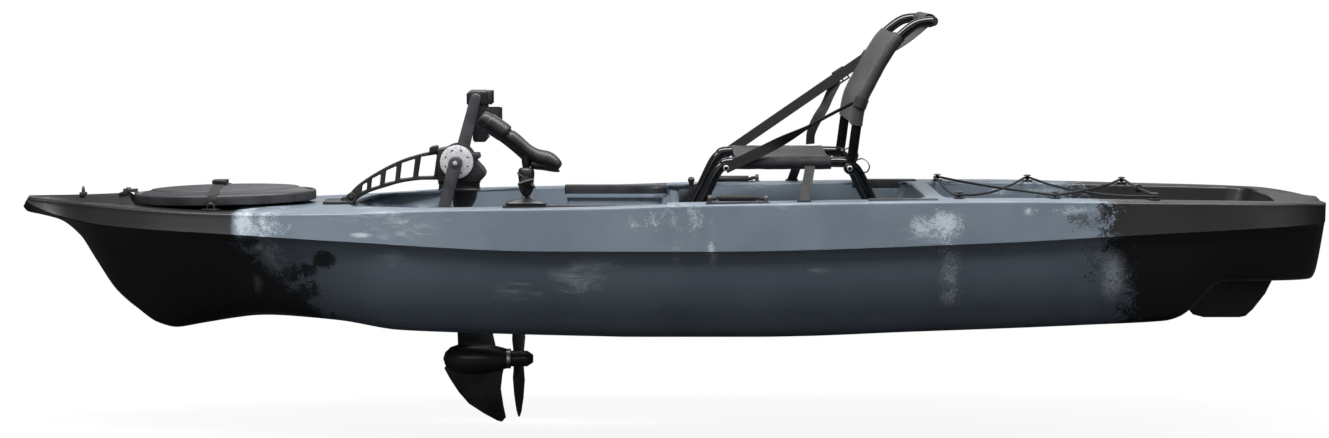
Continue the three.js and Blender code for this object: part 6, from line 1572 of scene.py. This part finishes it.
# %% Tie straps of the seat
TIE_X, TIE_FOOT_X, TIE_FOOT_Y, TIE_WIDE, TIE_AXIS = 336, 318, 379, 24, (1, 0, 0)
TIE_RADIUS, TIE_ANGLES = 15.6, range(150, 311, 20)
FOOT_LONG, FOOT_HALF, FOOT_SINK, FOOT_HIGH, FOOT_ROUND = 16, 8, 4, 4.6, 2.2
for name, sign in SIDES:
    deck = deck_height(TIE_FOOT_X * MM, TIE_FOOT_Y * MM) / MM
    route = [(TIE_X, sign * (SEAT_HALF + TIE_RADIUS * math.cos(turn)), RAIL_Z + TIE_RADIUS * math.sin(turn))
             for turn in map(math.radians, TIE_ANGLES)]
    route += [(TIE_X, sign * (SEAT_HALF + 40), RAIL_Z - 14), (TIE_FOOT_X, sign * TIE_FOOT_Y, deck + 2)]
    lay(strap("seat_tie_strap_" + name, route, TIE_WIDE, WEB_THICK, axis=TIE_AXIS, steps=80), webbing,
        "kayak", "webbing", TIE_WIDE, "stretched", ["seat_base_frame", "hull_skin"], "seat_tie_" + name)
    foot = box_cutter("seat_tie_foot_" + name,
                      (TIE_FOOT_X - FOOT_LONG, sign * TIE_FOOT_Y - FOOT_HALF, deck - FOOT_SINK),
                      (TIE_FOOT_X + FOOT_LONG, sign * TIE_FOOT_Y + FOOT_HALF, deck + FOOT_HIGH), FOOT_ROUND)
    finished(foot, nylon, "kayak", "black_plastic")
print("ties done")

# %% Buckle and loops of the side straps
LOOPS = [("strap_loop_port", -1, 168), ("strap_loop_starboard", 1, 262)]
LOOP_CLEAR, LOOP_LAP, LOOP_WIDE, ACROSS = 3.4, 1.4, 24, Vector((0, 1, 0))
BUCKLE_AT, BUCKLE_LEAN = Vector((437, 251.5, 608)), math.radians(-33)
BUCKLE_BARS = [(x, y, 2, 16, 2.4, "Y") for x, y in ((-15, 0), (-2, 0), (15, 0))]
BUCKLE_BARS += [(x, y, 17, 2.2, 2.6, "X") for x, y in ((0, -16), (0, 16))]


def tube_loop(name, base, tip, radius, wide):
    axis = (tip - base).normalized()
    across = axis.cross(ACROSS).normalized()

    def place(share, level):
        turn = share * math.tau
        return (base + axis * (level - 0.5) * wide
                + (across * math.cos(turn) + ACROSS * math.sin(turn)) * (radius + share * LOOP_LAP))

    return cloth_grid(name, (48, 6), place, WEB_THICK)


for name, sign, rise in LOOPS:
    k = min(range(1, len(tube_line)), key=lambda k: abs(tube_line[k].z - BOLT_Z - rise))
    base, tip = (tube_line[n] + Vector((0, sign * BACK_HALF, 0)) for n in (k - 1, k))
    lay(tube_loop(name, base, tip, BAR_RADIUS + LOOP_CLEAR, LOOP_WIDE), webbing, "seat_back", "webbing",
        LOOP_WIDE, "stretched", ["seat_back_frame"])
buckle = join("strap_ladder_buckle", [box_cutter("bar", (x - a, y - b, -c), (x + a, y + b, c), 1.2, axis)
                                      for x, y, a, b, c, axis in BUCKLE_BARS])
turn = Matrix.Rotation(BUCKLE_LEAN, 4, "Y") @ Matrix.Rotation(math.pi / 2, 4, "X")
buckle.data.transform(Matrix.Translation(BUCKLE_AT * MM) @ turn)
finished(buckle, nylon, None, "black_plastic")
stretch(buckle, STRAP_Y)

# %% Webbing loops behind the seat
LOOP_HALF = 236
LOOP_ROUTE = [(446, 419), (462, 425), (476, 417), (481, 404), (473, 392), (459, 396), (449, 406)]
for name, sign in SIDES:
    route = [(x, sign * LOOP_HALF, z) for x, z in LOOP_ROUTE]
    lay(strap("seat_rear_loop_" + name, route, LOOP_WIDE, WEB_THICK), webbing, "kayak", "webbing", LOOP_WIDE,
        "folded", ["seat_base_frame"])

# %% [markdown]
# ## Small fittings of the hull
# The accessory rails are held down by stainless screws with low domed heads, three to a rail.

# %% Screws along the accessory rails
SCREW_RADIUS, SCREW_HIGH, SCREW_DOME, SCREW_SIDES, SCREW_SHARES = 3.6, 1.4, 0.6, 18, (0.05, 0.5, 0.95)
screws = []
for node in (*on_both_sides("front"), *on_both_sides("rear")):
    rail = fitted["accessory_rail_" + node]
    _, (low, high) = box_of(rail)
    for share in SCREW_SHARES:
        x, y = low.x + (high.x - low.x) * share, (low.y + high.y) / 2
        screws.append(turned_pin("screw", (x, y, height_on(rail, x, y)), SCREW_HIGH, SCREW_RADIUS,
                                 SCREW_DOME, "Z", SCREW_SIDES))
finished(join("rail_screws", screws), ground_steel, "kayak", "steel")
print("screws", len(screws))

# %% [markdown]
# ## The hull on the boat's body
# The hull stands for the four fitted lengths, and it rides on the boat's own body.

# %% Ride with the boat and hide the fitted hull
HULL_NODES = [node for node in frame["nodes"] if node.startswith("hull_")]
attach(hull, "kayak")
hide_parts(*HULL_NODES)
